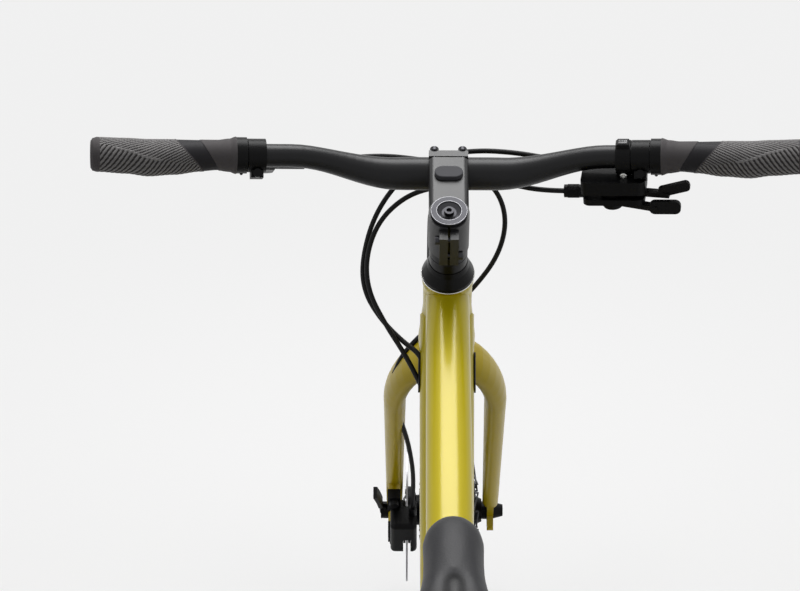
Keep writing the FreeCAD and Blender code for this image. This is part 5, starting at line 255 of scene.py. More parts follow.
def brushed_metal(name, dark, light, roughness, stretch=(1.0, 1.0, 1.0)):
    """Turned or brushed metal with fine streaks."""
    finish = Finish(name, metallic=1.0)
    streaks = finish.noise(scale=900.0, detail=3.0, place=finish.stretched(*stretch))
    cloud = finish.noise(scale=25.0, detail=3.0)
    finish.feed("Base Color", finish.blend(streaks * 0.6 + cloud * 0.4, dark, light))
    finish.feed("Roughness", roughness + 0.12 * streaks)
    finish.relief(streaks, depth=0.00003, strength=0.35)
    return finish.material


def moulded(name, dark, light, roughness, grain=1500.0, depth=0.00008):
    """Moulded plastic or rubber: fine spark grain and a slight bloom."""
    finish = Finish(name, specular_ior_level=0.1)
    spark = finish.noise(scale=grain, detail=3.0)
    bloom = finish.noise(scale=30.0, detail=4.0)
    finish.feed("Base Color", finish.blend(bloom * 0.7 + spark * 0.3, dark, light))
    finish.feed("Roughness", roughness + 0.1 * bloom + 0.06 * spark)
    finish.relief(spark, depth, strength=0.5)
    return finish.material


# Where the painted shade in the saddle's channel begins, and the band over which it fades in, in
# metres.
CHANNEL_FRONT = -0.1946
CHANNEL_SHADE_EDGE = (0.0078, 0.0094)


def saddle_cover():
    """Matte synthetic cover with a pebbled grain. The channel along its middle gets painted shade,
    one plain colour at the dark end of the cover's tone.
    """
    finish = Finish("saddle_cover", specular_ior_level=0.28, sheen_weight=0.06,
                    sheen_roughness=0.5)
    pebble = finish.cells(scale=620.0)
    cloud = finish.noise(scale=14.0, detail=4.0)
    cover = finish.blend(cloud * 0.6 + pebble * 0.4, linear(22, 22, 25), linear(36, 36, 40))
    side = finish.axis("Y")
    ahead = (finish.axis("X") - CHANNEL_FRONT).at_least(0.0)
    away = (ahead * ahead + side * side) ** 0.5
    # Painted shade: inside the channel the cover takes a plain dark colour that stands in for the
    # shade in the recess.
    finish.feed("Base Color", finish.blend(away.between(*CHANNEL_SHADE_EDGE), linear(22, 22, 24), cover))
    finish.feed("Roughness", 0.42 + 0.1 * cloud + 0.08 * pebble)
    finish.relief(1.0 - pebble, depth=0.0002, strength=0.35)
    return finish.material


def hose_cover():
    """Smooth black outer of a hose, with faint scuffs."""
    finish = Finish("hose_cover", specular_ior_level=0.15)
    scuff = finish.noise(scale=240.0, detail=4.0)
    finish.feed("Base Color", finish.blend(scuff, linear(9, 9, 10), linear(22, 22, 23)))
    finish.feed("Roughness", 0.34 + 0.16 * scuff)
    finish.relief(scuff, depth=0.00005, strength=0.3)
    return finish.material


def indicator_lens():
    """Dark glossy window of the gear indicator."""
    finish = Finish("indicator_lens", specular_ior_level=0.2, coat_weight=0.25, coat_roughness=0.1)
    haze = finish.noise(scale=300.0, detail=2.0)
    finish.feed("Base Color", finish.blend(haze, linear(16, 16, 18), linear(28, 28, 31)))
    finish.feed("Roughness", 0.3 + 0.06 * haze)
    return finish.material


def indicator_mark():
    """Pale dots on the gear indicator."""
    finish = Finish("indicator_mark")
    grain = finish.noise(scale=900.0, detail=2.0)
    finish.feed("Base Color", finish.blend(grain, linear(190, 190, 190), linear(220, 220, 220)))
    finish.feed("Roughness", 0.45 + 0.1 * grain)
    return finish.material


FINISHES = {
    "paint": mustard_paint("mustard_paint", linear(190, 172, 1), linear(206, 188, 5), coat=0.55),
    # Painted shade: the fork wears the frame's mustard paint, made darker so that its blades look
    # as if in shade.
    "fork_paint_with_painted_shade": mustard_paint("fork_paint_with_painted_shade", linear(168, 146, 1), linear(186, 164, 4), coat=0.32,
                                bare_above=BARE_STEERER),
    "bar": satin_black("bar_black", linear(8, 8, 10), linear(17, 17, 20),
                       roughness=0.28, gleam=0.3),
    "stem": satin_black("stem_black", linear(12, 12, 13), linear(21, 21, 23),
                        roughness=0.34, gleam=0.6),
    "alloy": satin_black("alloy_black", linear(9, 9, 10), linear(20, 20, 22),
                         roughness=0.36, gleam=0.12),
    "gloss": satin_black("lever_black", linear(7, 7, 8), linear(16, 16, 17),
                         roughness=0.28, gleam=0.12),
    "spacer": satin_black("spacer_black", linear(7, 7, 8), linear(16, 16, 17),
                          roughness=0.24, gleam=0.14),
    "steel": brushed_metal("bright_steel", linear(150, 150, 152), linear(188, 188, 190),
                           roughness=0.26),
    "rotor": brushed_metal("rotor_steel", linear(140, 140, 143), linear(180, 180, 184),
                           roughness=0.3, stretch=(6.0, 1.0, 6.0)),
    "dark_steel": brushed_metal("dark_steel", linear(46, 46, 48), linear(76, 76, 79),
                                roughness=0.34),
    "bolt": brushed_metal("bolt_steel", linear(40, 40, 42), linear(70, 70, 73), roughness=0.3),
    "rim_edge": brushed_metal("bare_edge", linear(190, 190, 188), linear(214, 214, 212),
                              roughness=0.22),
    # Painted highlight: bright metal for the thin rings that stand in for the glint on the top
    # cap's edges.
    "cap_glint": brushed_metal("cap_edge_painted_glint", linear(140, 140, 144), linear(172, 172, 176),
                               roughness=0.3),
    "plastic": moulded("shifter_plastic", linear(7, 7, 8), linear(16, 16, 17), roughness=0.36),
    "pad_plastic": moulded("paddle_plastic", linear(10, 10, 11), linear(22, 22, 23),
                           roughness=0.34),
    "grip": moulded("grip_rubber", linear(72, 69, 70), linear(92, 89, 90),
                    roughness=0.55, grain=900.0, depth=0.00012),
    # Painted highlight: a much lighter copy of the grip rubber for the rib crests.
    "rib_highlight": moulded("rib_top_painted_highlight", linear(120, 118, 118), linear(146, 144, 144),
                        roughness=0.5, grain=900.0, depth=0.0001),
    "grip_panel": moulded("grip_panel_rubber", linear(34, 33, 35), linear(50, 49, 52),
                          roughness=0.42, grain=900.0, depth=0.0001),
    # Painted shade: a darker copy of the grip rubber for the grooves between the ribs.
    "groove_shade": moulded("groove_painted_shade", linear(46, 44, 44), linear(62, 60, 60),
                           roughness=0.6, grain=900.0, depth=0.0001),
    "plug": moulded("plug_rubber", linear(66, 66, 69), linear(88, 88, 92), roughness=0.5),
    "port": moulded("port_rubber", linear(14, 14, 15), linear(26, 26, 28), roughness=0.5),
    "tyre": moulded("tyre_rubber", linear(18, 18, 19), linear(34, 34, 35),
                    roughness=0.6, grain=700.0, depth=0.00015),
    "shell": moulded("saddle_shell_plastic", linear(10, 10, 11), linear(20, 20, 21),
                     roughness=0.45),
    "saddle": saddle_cover(),
    "hose": hose_cover(),
    "lens": indicator_lens(),
    "mark": indicator_mark(),
}

NODE_FINISH = {
    "paint": ("head_tube", "top_tube", "down_tube", "seat_tube", "rear_stays", "rear_dropouts"),
    "fork_paint_with_painted_shade": ("fork",),
    "bar": ("handlebar",),
    "stem": ("stem", "stem_faceplate"),
    "alloy": ("seat_collar", "rear_caliper", "front_caliper", "seatpost", "crank_arms",
              "derailleur_upper_knuckle", "derailleur_outer_link", "derailleur_inner_link",
              "derailleur_lower_knuckle", "front_hub", "rear_hub", "front_rim", "rear_rim",
              "front_qr_lever", "rear_qr_lever", "front_axle", "rear_axle"),
    "gloss": ("grip_collars", "brake_lever_bodies", "left_brake_lever", "right_brake_lever"),
    "spacer": ("headset_spacers",),
    "steel": ("frame_bearings", "cassette"),
    "rotor": ("front_rotor", "rear_rotor"),
    "dark_steel": ("chain", "saddle_rails", "chainring", "derailleur_cage", "front_spokes",
                   "rear_spokes"),
    "bolt": ("stem_hardware",),
    "plastic": ("shifter_body", "guide_pulley", "tension_pulley", "left_pedal", "right_pedal"),
    "pad_plastic": ("thumb_paddle", "release_paddle"),
    "plug": ("stem_plug",),
    "port": ("cable_ports",),
    "grip": ("grips",),
    "tyre": ("front_tyre", "rear_tyre"),
    "shell": ("saddle_shell",),
    "saddle": ("saddle_pad",),
    "hose": ("front_brake_hose", "rear_brake_hose", "shift_housing"),
}
for finish_name, node_names in NODE_FINISH.items():
    for node_name in node_names:
        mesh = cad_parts[node_name].data
        mesh.materials.clear()
        mesh.materials.append(FINISHES[finish_name])


# Ways of making pieces

MERGE_GAP = 0.00001


def only(*pieces):
    """Selects these pieces and nothing else, the first one active."""
    bpy.ops.object.select_all(action="DESELECT")
    for piece in pieces:
        piece.select_set(True)
    bpy.context.view_layer.objects.active = pieces[0]


def begin(name, add, **sizes):
    """Adds a primitive and gives it a name."""
    bpy.ops.object.select_all(action="DESELECT")
    add(**sizes)
    piece = bpy.context.object
    piece.name = name
    piece.data.name = name
    return piece


def pick(piece, test):
    """Opens a piece in edit mode with the faces selected whose middle and normal pass a test."""
    only(piece)
    bpy.ops.object.mode_set(mode="EDIT")
    bpy.ops.mesh.select_mode(type="FACE")
    bpy.ops.mesh.select_all(action="DESELECT")
    bpy.ops.object.mode_set(mode="OBJECT")
    for face in piece.data.polygons:
        face.select = test(face.center, face.normal)
    bpy.ops.object.mode_set(mode="EDIT")


def pick_all(piece):
    """Opens a piece in edit mode with everything selected."""
    only(piece)
    bpy.ops.object.mode_set(mode="EDIT")
    bpy.ops.mesh.select_all(action="SELECT")


def done():
    bpy.ops.object.mode_set(mode="OBJECT")


def outward(piece, gap=MERGE_GAP):
    """Merges doubled points and turns every face outwards."""
    pick_all(piece)
    bpy.ops.mesh.remove_doubles(threshold=gap)
    bpy.ops.mesh.normals_make_consistent(inside=False)
    done()


def settled(piece):
    """Puts an object's own place into its mesh."""
    only(piece)
    bpy.ops.object.transform_apply(location=True, rotation=True, scale=True)


def smooth(piece, degrees):
    """Shades a piece smooth except at edges sharper than an angle."""
    only(piece)
    bpy.ops.object.shade_smooth_by_angle(angle=math.radians(degrees))


def bevelled(piece, width, segments):
    """Rounds the sharp edges of a piece."""
    only(piece)
    rounding = piece.modifiers.new("rounding", "BEVEL")
    rounding.width = width
    rounding.segments = segments
    rounding.limit_method = "ANGLE"
    bpy.ops.object.modifier_apply(modifier="rounding")


def turned(degrees, axis):
    return Matrix.Rotation(math.radians(degrees), 4, axis)


def frame_matrix(origin, ahead, side, up):
    """Places a piece drawn in millimetres in a local frame."""
    turn = Matrix((ahead, side, up)).transposed().to_4x4()
    return Matrix.Translation(origin * MM) @ turn @ Matrix.Scale(MM, 4)


LEFT_CONTROL = frame_matrix(BAR_END, BAR_FORWARD, BAR_OUT, BAR_UP)
RIGHT_CONTROL = Matrix.Scale(-1, 4, (0, 1, 0)) @ LEFT_CONTROL
STEERER = frame_matrix(STEER_FOOT, STEER_AHEAD, Vector((0, 1, 0)), STEER_UP)


def placed(piece, matrix):
    """Moves a piece's mesh."""
    piece.data.transform(matrix)
    if matrix.determinant() < 0:
        piece.data.flip_normals()
    return piece


def copied(piece, matrix):
    """A copy of a piece with its own mesh, moved."""
    twin = piece.copy()
    twin.data = piece.data.copy()
    bpy.context.scene.collection.objects.link(twin)
    return placed(twin, matrix)


def joined(name, pieces):
    """Makes one piece of several."""
    only(*pieces)
    bpy.ops.object.join()
    whole = bpy.context.object
    whole.name = name
    whole.data.name = name
    return whole


def dressed(piece, finish_name, body):
    """Gives a finished piece its finish and the body that carries it."""
    piece.data.materials.clear()
    piece.data.materials.append(FINISHES[finish_name])
    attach(piece, body)
    return piece


def step(value, low, high):
    """Zero below low, one above high and smooth between them."""
    share = min(1.0, max(0.0, (value - low) / (high - low)))
    return share * share * (3 - 2 * share)


# Hoses

def hose(name, points, node, bend=None):
    """A hose along its route. One that crosses the steering is given a bend and is left where it is
    drawn, not attached to any body.
    """
    curve = bpy.data.curves.new(name, "CURVE")
    curve.dimensions = "3D"
    line = curve.splines.new("NURBS")
    line.points.add(len(points) - 1)
    for point, place in zip(line.points, points):
        point.co = (*place, 1.0)
    line.order_u = 3
    line.use_endpoint_u = True
    line.resolution_u = 10
    piece = bpy.data.objects.new(name, curve)
    bpy.context.scene.collection.objects.link(piece)
    bpy.context.view_layer.update()
    evaluated = piece.evaluated_get(bpy.context.evaluated_depsgraph_get())
    bare = bpy.data.meshes.new_from_object(evaluated)
    bpy.data.meshes.remove(bare)
    curve.bevel_depth = HOSE_DIAMETER / 2
    curve.bevel_resolution = 4
    curve.use_fill_caps = True
    only(piece)
    bpy.ops.object.convert(target="MESH")
    piece = bpy.context.object
    outward(piece)
    smooth(piece, degrees=50)
    piece.data.materials.clear()
    piece.data.materials.append(FINISHES["hose"])
    if bend:
        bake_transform(piece)
    else:
        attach(piece, "steering")
    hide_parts(node)


hose("front_brake_line", FRONT_HOSE, "front_brake_hose")
hose("rear_brake_line", REAR_HOSE, "rear_brake_hose", REAR_HOSE_BEND)
hose("gear_housing", SHIFT_HOUSING, "shift_housing", SHIFT_HOUSING_BEND)


# Grips, drawn in millimetres along the bar. A station gives a place along the grip, its half depth
# and half height there, and how far it is shifted, as a share of the wing.

GRIP_STATIONS = (
    (3.0, 13.0, 13.0, 0.0), (1.0, 15.5, 15.5, 0.0), (-3.0, 16.5, 16.5, 0.0),
    (-29.5, 17.5, 16.8, -0.4), (-50.9, 19.5, 17.1, -1.0), (-75.0, 18.3, 16.5, -0.7),
    (-100.5, 15.6, 15.1, -0.2), (-116.6, 14.6, 14.6, 0.0), (-127.3, 15.8, 15.8, 0.0),
    (-134.0, 17.8, 17.8, 0.0))
GRIP_OUTER_END = 3.0
GRIP_LENGTH = 137.0
GRIP_MEAN_RADIUS = 17.0
GRIP_WING = 3.0
WING_RISE = 0.5
GRIP_COLUMNS = 150
GRIP_ROWS = 236
GRIP_MERGE = 0.001
CAP_RIM = 1.6
CAP_STEP = 0.8
CAP_SINK = 0.7

RIB_STEP = 4.0
RIB_HEIGHT = 0.7
RIB_ROUNDNESS = 0.7
RIB_FACING = math.radians(150.5)
RIB_START = (7.0, 9.0)
RIB_FADE = 1.5
RIB_WRAP = (math.radians(135), math.radians(150))
SLANT_ABOVE = 1.43
SLANT_BELOW = 0.6
CREASE_HEIGHT = 7.6
CREASE_FALL = 0.2325
CREASE_MIDDLE = 25.0
BEAD_HEIGHT = 0.35
BEAD_WIDTH = 1.3
BEAD_START = (18.0, 26.0)
BEAD_END = (60.0, 72.0)

PANEL_FACING = math.radians(58)
PANEL_EDGE = (93.0, 13.0)
NECK_EDGE = (112.0, 9.0)
PANEL_FADE = 0.8
PANEL_SINK = 0.45

# Zones of the grip rubber: the groove zone carries painted shade, the rib zone a painted highlight.
PLAIN, PANEL, GROOVE, RIB = range(4)
GROOVE_BELOW = 0.42
BEAD_ABOVE = 0.15


def grip_section(along):
    """Half depth, half height and shift of the grip at a place along it."""
    for first, second in zip(GRIP_STATIONS, GRIP_STATIONS[1:]):
        if along >= second[0]:
            share = step(first[0] - along, 0.0, first[0] - second[0])
            return [a + (b - a) * share for a, b in zip(first[1:], second[1:])]
    return list(GRIP_STATIONS[-1][1:])


def slanted_edge(edge, angle):
    """How far from the grip's end a slanted edge lies at an angle round the bar."""
    middle, swing = edge
    return middle - swing * math.cos(angle - PANEL_FACING)


def rib_form(along, angle):
    """The palm ribs, slanted lines that turn at a long crease: their place, wave and bead."""
    depth = GRIP_OUTER_END - along
    round_bar = (angle - RIB_FACING + math.pi) % (2 * math.pi) - math.pi
    crease = CREASE_HEIGHT - CREASE_FALL * (depth - CREASE_MIDDLE)
    over = -round_bar * GRIP_MEAN_RADIUS - crease
    slant = SLANT_ABOVE * over if over > 0 else SLANT_BELOW * over
    wave = 0.5 + 0.5 * math.sin(2 * math.pi * (depth - slant) / RIB_STEP)
    edge = slanted_edge(PANEL_EDGE, angle)
    shown = step(depth, *RIB_START) * (1 - step(depth, edge - RIB_FADE, edge))
    shown *= 1 - step(abs(round_bar), *RIB_WRAP)
    bead = BEAD_HEIGHT * math.exp(-(over / BEAD_WIDTH) ** 2)
    bead = bead * step(depth, *BEAD_START) * (1 - step(depth, *BEAD_END))
    return shown, wave, bead


def rib_lift(along, angle):
    """How far the palm ribs stand out."""
    shown, wave, bead = rib_form(along, angle)
    return shown * (RIB_HEIGHT * (wave ** RIB_ROUNDNESS - 1.0) + bead)


def panel_share(along, angle):
    """One on the smooth thumb panel between the ribs and the neck, zero elsewhere."""
    depth = GRIP_OUTER_END - along
    edge = slanted_edge(PANEL_EDGE, angle)
    neck = slanted_edge(NECK_EDGE, angle)
    return step(depth, edge, edge + PANEL_FADE) * (1 - step(depth, neck - PANEL_FADE, neck))


def grip_zone(place):
    """Which zone a place on the grip has. The grooves between the ribs get painted shade, the rib
    crests and the bead a painted highlight.
    """
    half_depth, half_height, shift = grip_section(place.y)
    angle = math.atan2((place.z - WING_RISE * shift * GRIP_WING) / half_height,
                       (place.x - shift * GRIP_WING) / half_depth)
    if panel_share(place.y, angle) > 0.5:
        return PANEL
    shown, wave, bead = rib_form(place.y, angle)
    if shown < 0.5:
        return PLAIN
    return GROOVE if wave < GROOVE_BELOW and bead < BEAD_ABOVE else RIB


def ribbed_grip():
    """The left grip: a grid rolled round the bar, closed and stepped at its outer end."""
    piece = begin("left_grip", bpy.ops.mesh.primitive_grid_add,
                  x_subdivisions=GRIP_COLUMNS, y_subdivisions=GRIP_ROWS, size=1.0)
    for vertex in piece.data.vertices:
        angle = 2 * math.pi * (vertex.co.x + 0.5)
        along = GRIP_OUTER_END - GRIP_LENGTH * (vertex.co.y + 0.5)
        half_depth, half_height, shift = grip_section(along)
        lift = rib_lift(along, angle) - PANEL_SINK * panel_share(along, angle)
        vertex.co = (shift * GRIP_WING + (half_depth + lift) * math.cos(angle), along,
                     WING_RISE * shift * GRIP_WING + (half_height + lift) * math.sin(angle))
    pick_all(piece)
    bpy.ops.mesh.remove_doubles(threshold=GRIP_MERGE)
    bpy.ops.mesh.select_all(action="DESELECT")
    bpy.ops.mesh.select_mode(type="EDGE")
    bpy.ops.mesh.select_non_manifold()
    bpy.ops.mesh.fill_holes(sides=0)
    bpy.ops.mesh.select_all(action="SELECT")
    bpy.ops.mesh.normals_make_consistent(inside=False)
    done()
    pick(piece, lambda middle, normal: normal.y > 0.99 and middle.y > GRIP_OUTER_END - 0.1)
    bpy.ops.mesh.inset(thickness=CAP_RIM, depth=0.0)
    bpy.ops.mesh.inset(thickness=CAP_STEP, depth=-CAP_SINK)
    done()
    return piece


left_grip = ribbed_grip()
right_grip = copied(left_grip, RIGHT_CONTROL)
placed(left_grip, LEFT_CONTROL)
grips = joined("ribbed_grips", [left_grip, right_grip])
smooth(grips, degrees=50)
dressed(grips, "grip", "steering")
for finish_name in ("grip_panel", "groove_shade", "rib_highlight"):
    grips.data.materials.append(FINISHES[finish_name])
to_left = LEFT_CONTROL.inverted()
to_right = RIGHT_CONTROL.inverted()
# Rib faces get the painted highlight, groove faces the painted shade.
for face in grips.data.polygons:
    face.material_index = grip_zone((to_left if face.center.y > 0 else to_right) @ face.center)
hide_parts("grips")


# Saddle

SADDLE_GRID = 0.0042
SWELL_FRAMES = 12
SWELL_LIMIT = 0.0015


def swollen(piece):
    """Blows a piece up a little by a short cloth run."""
    rest = [vertex.co.copy() for vertex in piece.data.vertices]
    cloth = piece.modifiers.new("cloth", "CLOTH")
    cloth.settings.use_pressure = True
    cloth.settings.uniform_pressure_force = 3.0
    cloth.settings.effector_weights.gravity = 0.0
    cloth.settings.tension_stiffness = 40.0
    scene = bpy.context.scene
    for number in range(1, SWELL_FRAMES + 1):
        scene.frame_set(number)
    only(piece)
    bpy.ops.object.modifier_apply(modifier="cloth")
    scene.frame_set(1)
    for vertex, was in zip(piece.data.vertices, rest):
        moved = vertex.co - was
        if moved.length > SWELL_LIMIT:
            vertex.co = was + moved.normalized() * SWELL_LIMIT


def padded_saddle():
    """The saddle's cover, made from the pad's own form."""
    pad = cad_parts["saddle_pad"]
    piece = bpy.data.objects.new("saddle_cushion", pad.data.copy())
    bpy.context.scene.collection.objects.link(piece)
    outward(piece)
    only(piece)
    remesh = piece.modifiers.new("even", "REMESH")
    remesh.mode = "VOXEL"
    remesh.voxel_size = SADDLE_GRID
    bpy.ops.object.modifier_apply(modifier="even")
    soften = piece.modifiers.new("soften", "SMOOTH")
    soften.factor = 0.5
    soften.iterations = 6
    bpy.ops.object.modifier_apply(modifier="soften")
    swollen(piece)
    finer = piece.modifiers.new("finer", "SUBSURF")
    finer.levels = 1
    finer.render_levels = 1
    bpy.ops.object.modifier_apply(modifier="finer")
    only(piece)
    bpy.ops.object.shade_smooth()
    return piece


saddle = dressed(padded_saddle(), "saddle", "seat")
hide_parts("saddle_pad")


# Tyres, drawn in millimetres round the axle. A row of tread blocks has their length, width, turn,
# lean round the section and offset along the row.

TYRE_RADIUS = 346.0
TYRE_HALF_WIDTH = 17.5
TYRE_MIDDLE = TYRE_RADIUS - TYRE_HALF_WIDTH
TYRE_STEPS = 144
TYRE_MERGE = 0.01
SECTION_POINTS = 13
SECTION_STEP = 7.5
TYRE_FLANK = ((TYRE_MIDDLE - 4.5, 17.0), (TYRE_MIDDLE - 8.5, 15.0), (317.6, 11.3),
              (311.4, 11.0), (311.4, 8.6), (317.6, 8.6))
TYRE_INSIDE = ((322.0, 12.4), (328.5, 14.6), (335.5, 12.0), (340.0, 6.0), (341.0, 0.0))
TREAD_DEPTH = 1.2
TREAD_FADE = (math.radians(30), math.radians(60))
TREAD_COUNT = 92
TREAD_ROWS = ((15.0, 5.6, 24, 11, 0.0), (15.0, 5.6, -24, -11, 0.5),
              (11.0, 6.6, -8, 34, 0.5), (11.0, 6.6, 8, -34, 0.0))
BLOCK_ROOT = 1.2
BLOCK_HEIGHT = TREAD_DEPTH + BLOCK_ROOT
BLOCK_CHAMFER = 0.5
BLOCK_SLACK = 0.05


def tyre_outline():
    """Half the tyre's cross section, as distances from the axle and from the middle plane."""
    outer = []
    for number in range(SECTION_POINTS):
        angle = math.radians(SECTION_STEP * number)
        radius = TYRE_HALF_WIDTH - TREAD_DEPTH * (1 - step(angle, *TREAD_FADE))
        outer.append((TYRE_MIDDLE + radius * math.cos(angle), radius * math.sin(angle)))
    return [*outer, *TYRE_FLANK, *TYRE_INSIDE]


def tyre_body(name):
    """The tyre's carcass, turned round the axle from its cross section."""
    half = tyre_outline()
    profile = half + [(radius, -side) for radius, side in reversed(half[1:-1])]
    piece = begin(name, bpy.ops.mesh.primitive_circle_add, vertices=len(profile), radius=1.0)
    for vertex, (radius, side) in zip(piece.data.vertices, profile):
        vertex.co = (0.0, side, radius)
    pick_all(piece)
    bpy.ops.mesh.spin(steps=TYRE_STEPS, angle=2 * math.pi, center=(0, 0, 0), axis=(0, 1, 0))
    done()
    outward(piece, TYRE_MERGE)
    return piece


def tread_block(name, length, width, turn, lean):
    """One tread block at the top of the wheel, leaning round the tyre's section and kept in it."""
    piece = begin(name, bpy.ops.mesh.primitive_cube_add, size=1.0)
    piece.data.transform(Matrix.Diagonal((length, width, BLOCK_HEIGHT, 1.0)))
    pick(piece, lambda middle, normal: normal.z > 0.9)
    bpy.ops.mesh.inset(thickness=BLOCK_CHAMFER, depth=0.0)
    done()
    for vertex in piece.data.vertices:
        edge = abs(vertex.co.x) > length / 2 - 0.01 or abs(vertex.co.y) > width / 2 - 0.01
        if vertex.co.z > 0 and edge:
            vertex.co.z -= BLOCK_CHAMFER
    up = TYRE_HALF_WIDTH - BLOCK_HEIGHT / 2 - BLOCK_SLACK
    placed(piece, Matrix.Translation((0, 0, TYRE_MIDDLE)) @ turned(-lean, "X")
           @ Matrix.Translation((0, 0, up)) @ turned(turn, "Z"))
    for vertex in piece.data.vertices:
        radius = math.hypot(vertex.co.x, vertex.co.z)
        reach = math.hypot(radius - TYRE_MIDDLE, vertex.co.y)
        share = min(1.0, (TYRE_HALF_WIDTH - BLOCK_SLACK) / reach)
        inward = (TYRE_MIDDLE + (radius - TYRE_MIDDLE) * share) / radius
        vertex.co = (vertex.co.x * inward, vertex.co.y * share, vertex.co.z * inward)
    return piece


def dressed_tyre(wheel, axle):
    """A tyre with its tread blocks."""
    parts = [tyre_body(wheel + "_carcass")]
    pitch = 360 / TREAD_COUNT
    for length, width, turn, lean, offset in TREAD_ROWS:
        block = tread_block("block", length, width, turn, lean)
        for number in range(TREAD_COUNT):
            parts.append(copied(block, turned(pitch * (number + offset), "Y")))
        bpy.data.objects.remove(block)
    piece = joined(wheel + "_tread_tyre", parts)
    placed(piece, Matrix.Translation(axle * MM) @ Matrix.Scale(MM, 4))
    smooth(piece, degrees=32)
    dressed(piece, "tyre", wheel + "_wheel")
    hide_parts(wheel + "_tyre")


dressed_tyre("front", FRONT_AXLE)
dressed_tyre("rear", REAR_AXLE)


# Valves, drawn in millimetres below the axle. A step widens or narrows the top, or lifts it.

VALVE_TURN = 5.625
VALVE_RADIUS = 3.0
VALVE_FOOT = 14.0
VALVE_LEVEL = -286.0
VALVE_STEPS = ((-0.7, 0.0), (0.0, 3.0), (-0.9, 0.0), (0.0, 9.0), (0.6, 0.0), (0.0, 5.0),
               (-0.8, 3.5))
VALVE_TAPER = 0.7


def valve(wheel, axle):
    """Valve stem with a stepped collar and a tapered cap."""
    piece = begin(wheel + "_valve", bpy.ops.mesh.primitive_cylinder_add, vertices=24,
                  radius=VALVE_RADIUS, depth=VALVE_FOOT, location=(0, 0, VALVE_LEVEL))
    settled(piece)
    for grow, lift in VALVE_STEPS:
        pick(piece, lambda middle, normal: normal.z > 0.99)
        if lift:
            bpy.ops.mesh.extrude_region_move(TRANSFORM_OT_translate={"value": (0, 0, lift)})
            if grow:
                bpy.ops.transform.resize(value=(VALVE_TAPER, VALVE_TAPER, 1.0))
        else:
            bpy.ops.mesh.inset(thickness=abs(grow), depth=0.0, use_outset=grow > 0)
        done()
    placed(piece, Matrix.Translation(axle * MM) @ turned(VALVE_TURN, "Y") @ Matrix.Scale(MM, 4))
    smooth(piece, degrees=35)
    dressed(piece, "dark_steel", wheel + "_wheel")


valve("front", FRONT_AXLE)
valve("rear", REAR_AXLE)


# Shifter details, in millimetres in the frame of the right control

SHIFTER_BOLT_PLACE = (-9.5, -170.0, -14.5)
SHIFTER_BOLT_RADIUS = 3.4
SHIFTER_BOLT_LENGTH = 6.0
BOLT_ROUNDING = 0.16
BOLT_SOCKET = 0.5
BOLT_SOCKET_LIFT = 0.55
LENS_SIZE = (9.5, 9.0, 1.6)
LENS_PLACE = (-2.8, -170.0, 18.0)
MARK_RADIUS = 0.55
MARK_HEIGHT = 0.3
MARK_COUNT = 5
MARK_STEP = 1.6
FIRST_MARK = (-2.8, -173.2, 18.8)
BARREL_RADIUS = 6.9
BARREL_LENGTH = 11.0
BARREL_SHIFT = 1.0
FLUTE_EDGE = 0.32
FLUTE_DEPTH = 0.55


def socket_bolt(name, radius, length):
    """A socket bolt head lying along +Z with its hexagon hole and a rounded edge."""
    piece = begin(name, bpy.ops.mesh.primitive_cylinder_add, vertices=36, radius=radius,
                  depth=length)
    bevelled(piece, width=radius * BOLT_ROUNDING, segments=2)
    socket = begin(name + "_socket", bpy.ops.mesh.primitive_cylinder_add, vertices=6,
                   radius=radius * BOLT_SOCKET, depth=length,
                   location=(0, 0, length * BOLT_SOCKET_LIFT))
    only(piece)
    hole = piece.modifiers.new("hole", "BOOLEAN")
    hole.object = socket
    hole.solver = "EXACT"
    bpy.ops.object.modifier_apply(modifier="hole")
    bpy.data.objects.remove(socket)
    return piece


def shifter_bolt():
    """Silver clamp bolt."""
    bolt = socket_bolt("shifter_bolt", SHIFTER_BOLT_RADIUS, SHIFTER_BOLT_LENGTH)
    placed(bolt, RIGHT_CONTROL @ Matrix.Translation(SHIFTER_BOLT_PLACE) @ turned(-90, "Y"))
    outward(bolt)
    smooth(bolt, degrees=35)
    dressed(bolt, "rim_edge", "steering")


def gear_indicator():
    """Dark window with a row of pale dots."""
    lens = begin("indicator_lens", bpy.ops.mesh.primitive_cube_add, size=1.0)
    lens.data.transform(Matrix.Diagonal((*LENS_SIZE, 1.0)))
    bevelled(lens, width=0.6, segments=3)
    placed(lens, RIGHT_CONTROL @ Matrix.Translation(LENS_PLACE))
    outward(lens)
    smooth(lens, degrees=40)
    dressed(lens, "lens", "steering")

    ahead, first, up = FIRST_MARK
    marks = []
    for number in range(MARK_COUNT):
        mark = begin("mark", bpy.ops.mesh.primitive_cylinder_add, vertices=20,
                     radius=MARK_RADIUS, depth=MARK_HEIGHT)
        bevelled(mark, width=0.1, segments=2)
        place = (ahead, first + MARK_STEP * number, up)
        marks.append(placed(mark, RIGHT_CONTROL @ Matrix.Translation(place)))
    marks = joined("indicator_marks", marks)
    outward(marks)
    dressed(marks, "mark", "steering")


def adjuster_barrel():
    """Fluted barrel where the gear housing leaves the shifter."""
    start = Vector(SHIFT_HOUSING[0]) / MM
    along = (Vector(SHIFT_HOUSING[0]) - Vector(SHIFT_HOUSING[1])).normalized()
    barrel = begin("adjuster_barrel", bpy.ops.mesh.primitive_cylinder_add, vertices=28,
                   radius=BARREL_RADIUS, depth=BARREL_LENGTH)
    pick(barrel, lambda middle, normal: abs(normal.z) < 0.1)
    bpy.ops.mesh.inset(thickness=FLUTE_EDGE, depth=-FLUTE_DEPTH, use_individual=True)
    done()
    bevelled(barrel, width=0.25, segments=1)
    turn = along.to_track_quat("Z", "Y").to_matrix().to_4x4()
    place = Matrix.Translation(start + along * BARREL_SHIFT)
    placed(barrel, Matrix.Scale(MM, 4) @ place @ turn)
    smooth(barrel, degrees=30)
    dressed(barrel, "plastic", "steering")


shifter_bolt()
gear_indicator()
adjuster_barrel()


